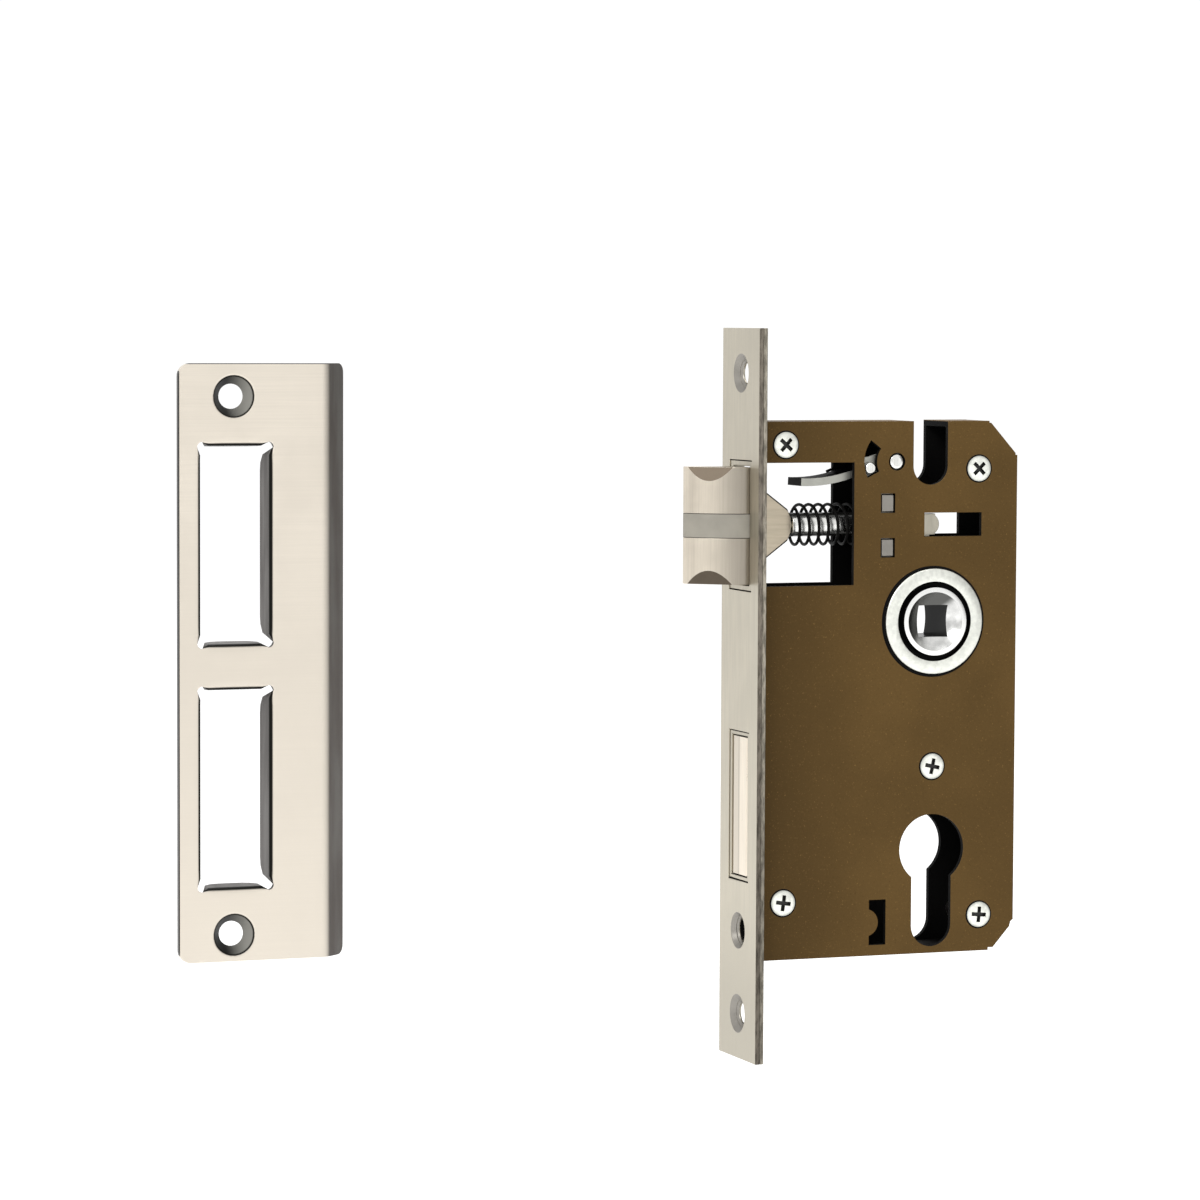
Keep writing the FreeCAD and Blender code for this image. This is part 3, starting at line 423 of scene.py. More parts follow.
def latch_finish(colours):
    """Satin nickel, brushed upright, with painted light: lighter towards the tip."""
    finish = Finish("nickel_latch")
    x = finish.axes()[0]
    lines = finish.grain(1.0, 3.0, (2600.0, 2600.0, 60.0), 0.6)
    cloud = finish.grain(90.0, 3.0)
    # Painted light: brighter towards the tip, darker towards the forend.
    base = finish.mix(x.between(-13.5 * MM, -1.0 * MM), tint(colours.nickel, 1.75),
                      tint(colours.nickel, 0.86))
    base = finish.mix(lines.between(0.2, 0.8) * 0.22, base, tint(colours.nickel, 0.5))
    base = finish.mix(cloud.between(0.45, 0.75) * 0.2, base, tint(colours.nickel, 0.7))
    return finish.shade(base, lines * 0.14 + 0.26, 1.0, finish.bump(lines, 0.01 * MM, 0.25))


def nylon_finish(colours):
    """Moulded grey nylon."""
    finish = Finish("grey_nylon")
    cloud = finish.grain(160.0, 3.0)
    fine = finish.grain(2400.0, 2.0)
    base = finish.mix(cloud.between(0.3, 0.7), tint(colours.nylon, 0.9), tint(colours.nylon, 1.06))
    seam = abs(finish.axes()[2] - LATCH_Z * MM).above(2.93 * MM)
    base = finish.mix(seam, base, tint(colours.nylon, 0.12))
    return finish.shade(base, 0.5, 0.0, finish.bump(fine, 0.015 * MM, 0.3), specular=0.3)


def pin_finish(colours):
    """Ground steel with fine marks round its length."""
    finish = Finish("ground_pins")
    lines = finish.grain(1.0, 2.0, (2600.0, 300.0, 300.0))
    base = finish.mix(lines.between(0.3, 0.7), tint(colours.bright, 0.86), colours.bright)
    return finish.shade(base, lines * 0.1 + 0.16, 1.0, finish.bump(lines, 0.006 * MM, 0.2))


def rod_finish(colours):
    """The latch's rod, with a painted reflection of the dark case along its top and bottom."""
    finish = Finish("ground_rod")
    z = finish.axes()[2]
    lines = finish.grain(1.0, 2.0, (2600.0, 300.0, 300.0))
    # Painted reflection: a near-black band along the rod's top and bottom.
    band = abs(z - LATCH_Z * MM).between(1.7 * MM, 2.5 * MM)
    base = finish.mix(band, colours.bright, (0.02, 0.02, 0.018))
    return finish.shade(base, lines * 0.1 + 0.2, 1 - band * 0.5,
                        finish.bump(lines, 0.006 * MM, 0.2), specular=0.2)


def black_finish(name, colour, rough):
    """Blackened steel with a few lighter rubs."""
    finish = Finish(name)
    rub = finish.grain(700.0, 4.0, rough=0.65)
    base = finish.mix(rub.between(0.62, 0.8) * 0.4, colour, tint(colour, 5.0))
    return finish.shade(base, rub * 0.2 + rough, 0.0, finish.bump(rub, 0.01 * MM, 0.3),
                        specular=0.04)


def dark_gap():
    """The unlit walls of a narrow gap."""
    return Finish("dark_gap").shade((0.004, 0.0038, 0.0035), 0.7, 0.0, specular=0.05)


def strike_finish(colours):
    """Stainless brushed across the plate, darker towards the bottom, with painted shade and dark
    reflections: dark rims round its openings, grey sides turned back, a grey lip, a dark outline
    along its left and top edges, and dimples that are darkest on their left."""
    finish = Finish("brushed_strike")
    x, y, z = finish.axes()
    lines = finish.grain(1.0, 4.0, (36.0, 900.0, 2600.0), 0.6)
    cloud = finish.grain(70.0, 3.0)
    base = finish.mix(lines.between(0.25, 0.75), tint(colours.strike, 0.97),
                      tint(colours.strike, 1.03))
    base = finish.mix(cloud.between(0.35, 0.75) * 0.5, base, tint(colours.strike, 0.9))
    # Darker towards the bottom.
    base = finish.mix(z.between(60 * MM, 0 * MM) * 0.6, base, tint(colours.strike, 0.87))
    # Painted dark reflection, streaked, for the lip and for the window sides turned back.
    streak = finish.grain(300.0, 3.0, (1.0, 1.0, 0.12)).between(0.3, 0.7)
    lip = finish.mix(streak, (0.118, 0.107, 0.102), (0.162, 0.157, 0.152))
    tab = finish.mix(streak, (0.075, 0.069, 0.065), (0.135, 0.128, 0.122))
    # Painted shade: near-black at the bends round the openings and on the dimples' left.
    black = (0.006, 0.006, 0.005)
    pit = finish.mix(x.between(-136.0 * MM, -129.5 * MM), black, (0.21, 0.205, 0.185))
    rim = 1.5
    windows = sum(z.above((bottom - rim) * MM) * z.below((top + rim) * MM)
                  for bottom, top in STRIKE_WINDOWS)
    left, right = WINDOW_SIDES
    windows = windows * x.above((left - rim) * MM) * x.below((right + rim) * MM)
    dimples = sum(finish.disc(*place, 5.7) for place in STRIKE_SCREWS)
    turned_in = finish.mix(y.between(-6.2 * MM, -7.0 * MM), tab, black)
    pressed = finish.mix(y.between(-6.9 * MM, -7.25 * MM), pit, black)
    bent = y.between(-7.49 * MM, -7.38 * MM)
    colour = finish.mix(bent * windows, base, turned_in)
    colour = finish.mix(bent * dimples, colour, pressed)
    # Painted dark reflection: an outline along the left and top edges.
    outline = (x.below(-147.25 * MM) + z.above(83.02 * MM)).between(0.0, 1.0)
    colour = finish.mix(outline, colour, (0.03, 0.028, 0.026))
    # The lip takes its painted reflection past the bend.
    colour = finish.mix(y.between(-7.45 * MM, -6.55 * MM) * x.between(-113.5 * MM, -112.0 * MM),
                        colour, lip)
    return finish.shade(colour, lines * 0.14 + 0.27, 1 - bent * (windows + dimples),
                        finish.bump(lines, 0.006 * MM, 0.2), specular=0.05)


FINISHES = {}


def make_finishes(colours):
    """Makes every finish and files it under the name that the pieces ask for."""
    upright = (900.0, 900.0, 70.0)
    half_forend = 11.9 * MM
    face_edge = forend_edge((0.15, 0.132, 0.108), half_forend, tint(colours.forend, 0.8))
    back_edge = forend_edge((0.27, 0.245, 0.20), half_forend, tint(colours.forend, 0.7))
    bolt = tint(colours.nickel, 1.85)
    FINISHES.update({
        "bronze": bronze_finish(colours),
        "screws": screw_finish(colours),
        "bushes": bush_finish(colours),
        "forend": satin_metal("satin_forend", colours.forend, upright, 0.34, 0.07, 0.12,
                              face_edge),
        "forend_back": satin_metal("satin_forend_back", tint(colours.forend, 0.85), upright,
                                   0.36, 0.07, 0.12, back_edge),
        "bolster": satin_metal("satin_bolster", tint(colours.forend, 0.95),
                               (600.0, 600.0, 90.0), 0.36, 0.1, 0.12),
        "steel": plain_steel("plain_steel", colours.steel),
        "latch": latch_finish(colours),
        # Painted shade: dark brown for the latch head's corner-ground crescents.
        "ground": plain_steel("ground_corner_painted_shade", (0.095, 0.077, 0.058)),
        "bolt": satin_metal("nickel_bolt", bolt, upright, 0.3, 0.06, 0.05, bolt_shine(bolt)),
        "nylon": nylon_finish(colours),
        "tan": satin_metal("tinted_nickel", colours.tan, (90.0, 700.0, 1500.0), 0.34, 0.1,
                           0.06, web_edge((0.02, 0.017, 0.013))),
        "bright": pin_finish(colours),
        "rod": rod_finish(colours),
        "carriage": satin_metal("carriage_steel", (0.41, 0.385, 0.32), (500.0, 500.0, 90.0),
                                0.34),
        "black_wire": black_finish("black_wire", colours.black, 0.3),
        "catch": black_finish("black_catch", tint(colours.black, 1.2), 0.42),
        "catch_edge": plain_steel("catch_cut_edge", (0.43, 0.43, 0.39), 0.5),
        "gap": dark_gap(),
        "chrome": hub_finish(colours),
        "strike": strike_finish(colours),
    })


# ---- meshes ----
def grid_faces(rows, columns, close_rows=False, close_columns=False):
    """Quads between neighbours on a grid; a closed direction joins its last line to its first."""
    i = np.arange(rows if close_rows else rows - 1)
    j = np.arange(columns if close_columns else columns - 1)
    i, j = np.meshgrid(i, j, indexing="ij")
    down, right = (i + 1) % rows, (j + 1) % columns
    quads = np.stack([i * columns + j, i * columns + right, down * columns + right,
                      down * columns + j], -1)
    return quads.reshape(-1, 4)


def tidy_mesh(mesh, outward=True, weld=1e-7, flat=None):
    """Merges doubles, drops slivers, optionally joins coplanar faces, and faces it outward."""
    work = bmesh.new()
    work.from_mesh(mesh)
    bmesh.ops.remove_doubles(work, verts=work.verts, dist=weld)
    bmesh.ops.dissolve_degenerate(work, edges=work.edges, dist=weld)
    if flat is not None:
        bmesh.ops.dissolve_limit(work, angle_limit=flat, verts=work.verts, edges=work.edges)
    if outward:
        bmesh.ops.recalc_face_normals(work, faces=work.faces)
    work.to_mesh(mesh)
    work.free()


def put_in(name, data):
    """A new object in the scene that holds the given mesh, light or camera."""
    item = bpy.data.objects.new(name, data)
    bpy.context.scene.collection.objects.link(item)
    return item


def add_piece(name, mesh, body, finish, nodes=(), sharp=32.0):
    """Puts a finished mesh into the scene: smooth between sharp edges, riding on its body."""
    mesh.materials.clear()
    mesh.materials.append(FINISHES[finish])
    mesh.polygons.foreach_set("use_smooth", np.ones(len(mesh.polygons), bool))
    mesh.set_sharp_from_angle(angle=math.radians(sharp))
    piece = put_in(name, mesh)
    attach(piece, body)
    if nodes:
        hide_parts(*nodes)
    return piece


def surface_piece(name, patches, body, finish, nodes=(), outward=True, sharp=32.0):
    """One piece from patches of (points in mm, quads) that share their borders."""
    points, quads, count = [], [], 0
    for where, faces in patches:
        points.append(np.asarray(where, float).reshape(-1, 3))
        quads.append(faces + count)
        count += len(points[-1])
    mesh = bpy.data.meshes.new(name)
    mesh.from_pydata((np.concatenate(points) * MM).tolist(), [],
                     np.concatenate(quads).tolist())
    tidy_mesh(mesh, outward)
    return add_piece(name, mesh, body, finish, nodes, sharp)


def softened(name, node, body, finish, width, sharp=32.0):
    """A merged copy of a CAD node with its edges bevelled, which stands for that node."""
    source = NODES[node].data
    co = np.empty(len(source.vertices) * 3)
    source.vertices.foreach_get("co", co)
    corners = np.empty(len(source.polygons) * 3, int)
    source.polygons.foreach_get("vertices", corners)
    mesh = bpy.data.meshes.new(name)
    mesh.from_pydata(co.reshape(-1, 3).tolist(), [], corners.reshape(-1, 3).tolist())
    tidy_mesh(mesh, False, 2e-6, math.radians(0.6))
    piece = add_piece(name, mesh, body, finish, (node,), sharp)
    bevel_edges(piece, width)
    return piece


def bevel_edges(piece, width, angle=38.0):
    """Rounds a piece's sharp edges and keeps its flats flat."""
    bevel = piece.modifiers.new("edges", "BEVEL")
    bevel.width, bevel.segments = width, 2
    bevel.limit_method, bevel.angle_limit = "ANGLE", math.radians(angle)
    bevel.use_clamp_overlap = True
    bevel.miter_outer = "MITER_ARC"
    weighted = piece.modifiers.new("flats", "WEIGHTED_NORMAL")
    weighted.keep_sharp = True


def paint_faces(piece, finish, chosen):
    """Gives a second finish to the faces for which chosen(centres in mm, normals) is true."""
    mesh = piece.data
    count = len(mesh.polygons)
    centres, normals = np.empty(count * 3), np.empty(count * 3)
    mesh.polygons.foreach_get("center", centres)
    mesh.polygons.foreach_get("normal", normals)
    mesh.materials.append(FINISHES[finish])
    picked = chosen(centres.reshape(-1, 3) / MM, normals.reshape(-1, 3))
    index = np.empty(count, int)
    mesh.polygons.foreach_get("material_index", index)
    index[picked] = len(mesh.materials) - 1
    mesh.polygons.foreach_set("material_index", index)


def turned(profile, centre, axis, steps):
    """A profile of (radius, height) swung round an axis: p = centre + height * axis + radius * turn."""
    profile = np.asarray(profile, float)
    axis = np.asarray(axis, float)
    side = np.array([0.0, 0.0, 1.0])
    other = np.cross(axis, side)
    a = np.linspace(0, 2 * math.pi, steps, endpoint=False)
    turn = np.cos(a)[:, None] * side + np.sin(a)[:, None] * other
    points = (np.asarray(centre, float) + profile[:, None, 1:] * axis
              + profile[:, None, :1] * turn[None])
    return points, grid_faces(len(profile), steps, False, True)


def tube(path, radius, sides, spare):
    """A round wire along a path: each point's ring lies across the path, in the plane of the
    path's normal (each point's spare direction made square to the path) and their cross product.
    Both ends are closed with rings that shrink to a point."""
    path = np.asarray(path, float)
    tangent = np.gradient(path, axis=0)
    tangent /= np.linalg.norm(tangent, axis=1)[:, None]
    normal = spare - (spare * tangent).sum(1)[:, None] * tangent
    normal /= np.linalg.norm(normal, axis=1)[:, None]
    other = np.cross(tangent, normal)
    cap = np.array([0.0, 0.55, 0.85])
    path, normal, other = [
        np.concatenate([np.repeat(line[:1], 3, 0), line, np.repeat(line[-1:], 3, 0)])
        for line in (path, normal, other)]
    scale = np.concatenate([cap, np.ones(len(path) - 6), cap[::-1]]) * radius
    a = np.linspace(0, 2 * math.pi, sides, endpoint=False)
    ring = (np.cos(a)[None, :, None] * normal[:, None]
            + np.sin(a)[None, :, None] * other[:, None])
    return path[:, None] + scale[:, None, None] * ring, grid_faces(len(path), sides, False, True)


# ---- pieces ----
def plain_node(node, finish):
    """A CAD node whose shape is right gets its finish."""
    data = NODES[node].data
    data.materials.clear()
    data.materials.append(FINISHES[finish])


def build_case(sizes):
    """Both plates, the screws, their posts and the small studs."""
    soft = sizes.softness
    softened("case_back", "case_tray", "case", "bronze", soft)
    softened("case_cover", "cover_plate", "case", "bronze", soft)
    softened("cover_screws", "case_screws", "case", "screws", soft * 0.7)
    for node in ("screw_posts", "return_spring_stud", "tumbler_spring_stud"):
        plain_node(node, "steel")


def window_walls(centre, normal):
    """True on the upper and lower walls of a plate's windows."""
    return (abs(centre[:, 2]) < 91.0) & (abs(normal[:, 2]) > 0.95)


def collar_walls(centre, normal):
    """True on a guide's walls that face up or down in the forend."""
    return (centre[:, 0] < 2.4) & (abs(normal[:, 2]) > 0.95)


def sinks(_, normal):
    """True on the slopes of a plate's countersinks."""
    return (abs(normal[:, 0]) > 0.25) & (abs(normal[:, 0]) < 0.9)


def build_forend(sizes):
    """The two layers of the forend and the bolts' guides in it."""
    soft = sizes.softness
    face = softened("forend_face", "outer_forend", "case", "forend", soft)
    under = softened("forend_under", "inner_forend", "case", "forend_back", soft)
    for piece in (face, under):
        # Painted shade: the windows' upper and lower walls take the unlit gap finish, and the
        # countersinks' slopes the darker plain steel.
        paint_faces(piece, "gap", window_walls)
        paint_faces(piece, "steel", sinks)
    for name, node in (("latch_collar", "latch_bolster"), ("bolt_collar", "bolt_bolster")):
        collar = softened(name, node, "case", "bolster", soft)
        # Painted shade: the guides' walls that face up and down take the unlit gap finish.
        paint_faces(collar, "gap", collar_walls)


def spring_path(sizes):
    """The coil round the rod, a plain helix: x = start + length * t, angle = 2 pi turns t."""
    low, high = corners_mm("latch_spring")
    wire = sizes.spring_wire / MM
    start, end = low[0] + wire, high[0] - wire
    radius = (high[2] - low[2]) / 2 - wire
    t = np.linspace(0, 1, int(40 * sizes.spring_turns))
    angle = 2 * math.pi * sizes.spring_turns * t + 2.2
    middle_z = (high[2] + low[2]) / 2
    return np.stack([start + (end - start) * t, radius * np.cos(angle),
                     middle_z + radius * np.sin(angle)], 1)


def build_latch(sizes):
    """The bevelled head and all that slides with it."""
    soft, cast = sizes.softness, sizes.cast_softness
    head = softened("latch_bolt", "latch_head", "latch", "latch", soft, 14.0)
    # Painted shade: the head's corner-ground crescents at top and bottom are coloured dark brown.
    paint_faces(head, "ground", lambda centre, normal: (centre[:, 0] < -0.6)
                & (abs(normal[:, 2]) > 0.12) & (abs(normal[:, 2]) < 0.97)
                & (abs(centre[:, 2] - LATCH_Z) > 9.0))
    softened("latch_band", "latch_insert", "latch", "nylon", soft * 0.8)
    web = softened("latch_web", "latch_tail", "latch", "tan", soft)
    # Painted shade: the web's sides take the unlit gap finish.
    paint_faces(web, "gap", lambda centre, normal: abs(normal[:, 1]) < 0.5)
    softened("latch_slider", "latch_carriage", "latch", "carriage", soft)
    softened("rod_guide", "latch_guide", "case", "steel", cast * 0.6)
    softened("guide_rod", "latch_rod", "latch", "rod", soft)
    plain_node("rod_clip", "black_wire")
    # Painted shade: the spring's washer takes the unlit gap finish.
    plain_node("spring_washer", "gap")
    path = spring_path(sizes)
    middle = np.array([0.0, 0.0, path[:, 2].mean()])
    outward = path - middle
    outward[:, 0] = 0.0
    wire = sizes.spring_wire / MM
    coil = surface_piece("latch_coil", [tube(path, wire, 10, outward)], "case",
                         "black_wire", ("latch_spring",), sharp=80.0)
    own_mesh(coil)


def hub_rings(sizes):
    """The hub as rings round its axis. A ring is a circle, or the square hole's outline,
    whose radius at an angle a is half / max(|cos a|, |sin a|). The dish is a paraboloid:
    its depth at radius r is dish * (1 - (r / rim)^2)."""
    low, high = corners_mm("follower_hub")
    centre_x = (low[0] + high[0]) / 2
    face = high[1]
    steps = 96
    a = np.linspace(0, 2 * math.pi, steps, endpoint=False) + math.pi / 4
    half = 4.0
    square = half / np.maximum(abs(np.cos(a)), abs(np.sin(a)))
    circle = np.ones(steps)
    rim, boss, journal, core = 7.45, 8.9, 9.95, 11.0
    shoulder, collar = 7.2, 5.6
    dish = sizes.dish_depth / MM

    def depth(r):
        return face - dish * (1 - (r / rim) ** 2)

    bowl = [square + (rim - square) * t for t in np.linspace(0, 1, 12)]
    outer = [(r, depth(r)) for r in bowl]
    outer += [(circle * r, circle * y) for r, y in (
        (rim + 0.25, face - 0.02), (boss - 0.3, face), (boss - 0.08, face - 0.1),
        (boss, face - 0.35), (boss, shoulder), (journal, shoulder), (journal, collar),
        (core, collar))]
    rings = [(r, -y) for r, y in outer] + [(r, y) for r, y in reversed(outer)]
    radius = np.array([r for r, y in rings])
    height = np.array([y * circle for r, y in rings])
    points = np.stack([centre_x + radius * np.cos(a), height,
                       FOLLOWER[1] + radius * np.sin(a)], -1)
    return points, grid_faces(len(rings), steps, True, True)


def bush_profile(side, bore, collar, flange, face):
    """A flanged bush as (radius, height): a collar in the plate, a soft-edged face ring with
    a shallow step near its edge, and a thin flange under it."""
    profile = [(collar, 6.0), (bore, 6.0), (bore, face - 0.35), (bore + 0.12, face - 0.1),
               (bore + 0.45, face), (flange - 1.5, face), (flange - 1.3, face - 0.09),
               (flange - 0.85, face - 0.12), (flange - 0.62, face - 0.22),
               (flange - 0.53, face - 0.4), (flange - 0.5, 7.72), (flange, 7.7),
               (flange, 7.5), (collar, 7.5)]
    return [(r, side * y) for r, y in profile]


def build_follower(sizes):
    """The hub with its dished square, the cam, both bushes and the return spring."""
    surface_piece("follower_socket", [hub_rings(sizes)], "follower", "chrome",
                  ("follower_hub",))
    softened("follower_lever", "follower_cam", "follower", "steel",
             sizes.softness)
    centre = (FOLLOWER[0], 0.0, FOLLOWER[1])
    for node, side, name in (("follower_bush_front", -1, "bush_ring_front"),
                             ("follower_bush_back", 1, "bush_ring_back")):
        profile = bush_profile(side, bore=10.0, collar=11.5, flange=13.9, face=8.3)
        points, quads = turned(profile + profile[:1], centre, (0, 1, 0), 96)
        surface_piece(name, [(points, quads)], "case", "bushes", (node,), sharp=40.0)
    plain_node("follower_return_spring", "black_wire")


def build_deadbolt(sizes):
    """The deadbolt's head, tail plate and rivets."""
    softened("deadbolt_block", "deadbolt_head", "deadbolt", "bolt",
             sizes.cast_softness)
    softened("deadbolt_plate", "deadbolt_tail", "deadbolt", "steel",
             sizes.softness)
    plain_node("deadbolt_rivets", "steel")


def build_tumbler(sizes):
    """The tumbler that holds the deadbolt."""
    softened("tumbler_plate", "bolt_tumbler", "tumbler", "steel", sizes.softness)
    plain_node("tumbler_stump", "steel")
    plain_node("tumbler_spring", "black_wire")


def build_catch(sizes):
    """The finger that lets the latch be turned over, with its pin and pivot."""
    finger = softened("catch_finger", "reversing_catch", "catch", "catch",
                      sizes.softness)
    paint_faces(finger, "catch_edge", lambda centre, normal: normal[:, 1] < -0.9)
    softened("catch_peg", "catch_pin", "catch", "bright", sizes.cast_softness)
    softened("catch_stud", "catch_pivot", "case", "bright",
             sizes.cast_softness)
    plain_node("catch_spring", "black_wire")


# ---- strike plate ----
def runs(stops, counts):
    """Points along a line: each stretch between two stops is divided evenly."""
    parts = [np.linspace(a, b, n, endpoint=False) for a, b, n in zip(stops, stops[1:], counts)]
    return np.concatenate(parts + [np.array(stops[-1:])])


def lip_bend(radius):
    """How far across the sheet the lip's bend of this outer radius starts, and its arc."""
    return STRIKE_FLAT - radius * math.tan(LIP_TURN / 2), radius * LIP_TURN


def strike_bent(s, z, y, sizes):
    """Where a point of the flat sheet goes. s runs across from the left edge, y is how far it
    is pressed back. Past the bend line the sheet follows an arc, then the slanted lip:
    the section's heading turns by the lip's angle over the arc's length."""
    low = corners_mm("strike_plate")[0]
    radius = sizes.strike_bend / MM
    start, arc = lip_bend(radius)
    past = np.clip(s - start, 0, arc)
    heading = past / radius
    rest = np.clip(s - start - arc, 0, None)
    x = np.minimum(s, start) + radius * np.sin(heading) + rest * math.cos(LIP_TURN)
    back = radius * (1 - np.cos(heading)) + rest * math.sin(LIP_TURN)
    return np.stack([low[0] + x, low[1] + back + y, z], -1)


def strike_outline(sizes):
    """The stops up and across the sheet that all patches share: the lip keeps its length past
    the sharp corner that the bend rounds off."""
    low, high = corners_mm("strike_plate")
    start, arc = lip_bend(sizes.strike_bend / MM)
    window = [side - low[0] for side in WINDOW_SIDES]
    end = start + arc + STRIKE_LIP - (STRIKE_FLAT - start)
    return low[2], high[2], window, start, arc, end


def strike_patches(sizes):
    """The strike plate's front: flat fields round two windows, a pressed dimple round each
    screw hole, and each window's four sides turned back on a radius."""
    bottom, top, (w0, w1), bend, arc, end = strike_outline(sizes)
    left = corners_mm("strike_plate")[0][0]
    corner, tip_r, curve = 3.0, 2.2, 1.3
    across = [runs((0.0, w0), (8,)), runs((w0, w0 + curve, w1 - curve, w1), (1, 10, 1)),
              runs((w1, bend, bend + arc, end - tip_r, end), (8, 8, 6, 6))]
    (a0, a1), (b0, b1) = STRIKE_WINDOWS
    edge = corner * (1 - np.cos(np.linspace(0, math.pi / 2, 9)))
    rise = np.concatenate([bottom + edge[:-1], runs((bottom + corner, a0), (7,))])
    fall = np.concatenate([runs((b1, top - corner), (7,))[:-1], top - edge[::-1]])
    up = [rise, runs((a0, a0 + curve, a1 - curve, a1), (1, 24, 1)), runs((a1, b0), (6,)),
          runs((b0, b0 + curve, b1 - curve, b1), (1, 24, 1)), fall]

    def inset(radius, near):
        """What a round corner takes off at a height near its end: r - sqrt(r^2 - (r - near)^2)."""
        return radius - np.sqrt(np.clip(radius ** 2 - np.clip(radius - near, 0, None) ** 2,
                                        0, None))

    def rounded(s, z):
        """Pulls the sheet's sides in so that its corners are round."""
        near = np.minimum(z - bottom, top - z)
        dip, tip = inset(corner, near), inset(tip_r, near)
        inner = np.where(s < w0, dip + s * (w0 - dip) / w0, s)
        lip = bend + arc
        return np.where(s > lip, lip + (s - lip) * (end - tip - lip) / (end - lip), inner)

    def field(columns, rows):
        s, z = np.meshgrid(columns, rows)
        return strike_bent(rounded(s, z), z, 0.0 * s, sizes), grid_faces(*s.shape)

    patches = []
    for row, rows in enumerate(up):
        patches.append(field(across[0], rows))
        patches.append(field(across[2], rows))
        if row == 2:
            patches.append(field(across[1], rows))
    for (hole_x, hole_z), rows in zip(STRIKE_SCREWS, (up[0], up[4])):
        patches.append(dimple(hole_x - left, hole_z, across[1], rows, sizes))
    for low, high in STRIKE_WINDOWS:
        patches += window_sides(w0, w1, low, high, curve, sizes)
    return patches


def dimple(hs, hz, columns, rows, sizes):
    """From a screw hole out to the field's border: the ring of border points is drawn in
    towards the hole, and the sheet sinks by a smooth step between the two radii."""
    border = np.concatenate([
        np.stack([columns[:-1], np.full(len(columns) - 1, rows[0])], 1),
        np.stack([np.full(len(rows) - 1, columns[-1]), rows[:-1]], 1),
        np.stack([columns[:0:-1], np.full(len(columns) - 1, rows[-1])], 1),
        np.stack([np.full(len(rows) - 1, columns[0]), rows[:0:-1]], 1)])
    hole_r, rim_r, sink = 3.0, 5.0, 3.0
    away = border - (hs, hz)
    reach = np.linalg.norm(away, axis=1)
    heading = away / reach[:, None]
    radii = np.concatenate([np.linspace(hole_r, rim_r + 0.5, 14), rim_r + 0.5 + np.array([0.4])])
    inner = np.stack([np.full(len(border), r) for r in radii])
    share = np.linspace(0, 1, 5)[1:, None]
    outer = radii[-1] + (reach[None] - radii[-1]) * share
    r = np.concatenate([inner, outer])
    flat = np.asarray([hs, hz]) + r[..., None] * heading[None]
    t = np.clip((rim_r + 0.35 - r) / (rim_r + 0.35 - hole_r), 0, 1)
    ease = np.where(t < 0.25, 2 * t ** 2, t - 0.125) / 0.875
    pressed = sink * ease
    points = strike_bent(flat[..., 0], flat[..., 1], pressed, sizes)
    return points, grid_faces(len(r), len(border), False, True)[:, ::-1]


def window_sides(w0, w1, low, high, curve, sizes):
    """The four sides of a window, each carried round the bend and straight back. The length
    carried back, L, eases in from the corners: L * sqrt(1 - (1 - q)^2), with q the distance
    from the corner over the taper. A small web fills each rounded corner."""
    bend = sizes.window_bend / MM
    patches = []
    reach, taper = 6.2, 5.5
    sides = (
        ((w1, low + curve), (0, 1), (-1, 0), high - low - 2 * curve, 24, reach),
        ((w0, high - curve), (0, -1), (1, 0), high - low - 2 * curve, 24, reach),
        ((w0 + curve, low), (1, 0), (0, 1), w1 - w0 - 2 * curve, 10, reach - 1.2),
        ((w1 - curve, high), (-1, 0), (0, -1), w1 - w0 - 2 * curve, 10, reach - 1.2),
    )
    for start, along, inward, length, count, far in sides:
        w = np.linspace(0, length, count + 1)
        q = np.clip(np.minimum(w, length - w) / min(taper, length / 2), 0, 1)
        carried = 0.12 + (far + bend * math.pi / 2 - 0.12) * np.sqrt(1 - (1 - q) ** 2)
        path = carried[None] * np.linspace(0, 1, 15)[:, None]
        angle = np.clip(path / bend, 0, math.pi / 2)
        straight = np.clip(path - bend * math.pi / 2, 0, None)
        into = bend * np.sin(angle) + 0.06 * straight
        back = bend * (1 - np.cos(angle)) + straight
        s = start[0] + along[0] * w[None] + inward[0] * into
        z = start[1] + along[1] * w[None] + inward[1] * into
        patches.append((strike_bent(s, z, back, sizes), grid_faces(*s.shape)))
    for cs, cz, ds, dz in ((w0, low, 1, 1), (w1, low, -1, 1), (w1, high, -1, -1),
                           (w0, high, 1, -1)):
        a = np.linspace(0, math.pi / 2, 7)
        arc_s = cs + ds * curve * (1 - np.cos(a))
        arc_z = cz + dz * curve * (1 - np.sin(a))
        s = np.stack([np.full(7, cs), arc_s])
        z = np.stack([np.full(7, cz), arc_z])
        quads = grid_faces(2, 7)
        patches.append((strike_bent(s, z, 0.0 * s, sizes), quads if ds * dz > 0 else quads[:, ::-1]))
    return patches


def build_strike(sizes):
    """The strike plate: pressed sheet with its lip, windows and screw dimples."""
    plate = surface_piece("strike_sheet", strike_patches(sizes), "strike",
                          "strike", ("strike_plate",), outward=False, sharp=60.0)
    work = bmesh.new()
    work.from_mesh(plate.data)
    bmesh.ops.recalc_face_normals(work, faces=work.faces)
    lean = sum(f.normal.y * f.calc_area() for f in work.faces)
    if lean > 0:
        bmesh.ops.reverse_faces(work, faces=work.faces)
    work.to_mesh(plate.data)
    work.free()
    wall = plate.modifiers.new("sheet", "SOLIDIFY")
    wall.thickness, wall.offset = sizes.strike_sheet, -1.0
    wall.use_even_offset = True
    wall.use_quality_normals = True
    bevel_edges(plate, sizes.softness * 1.2, 50.0)


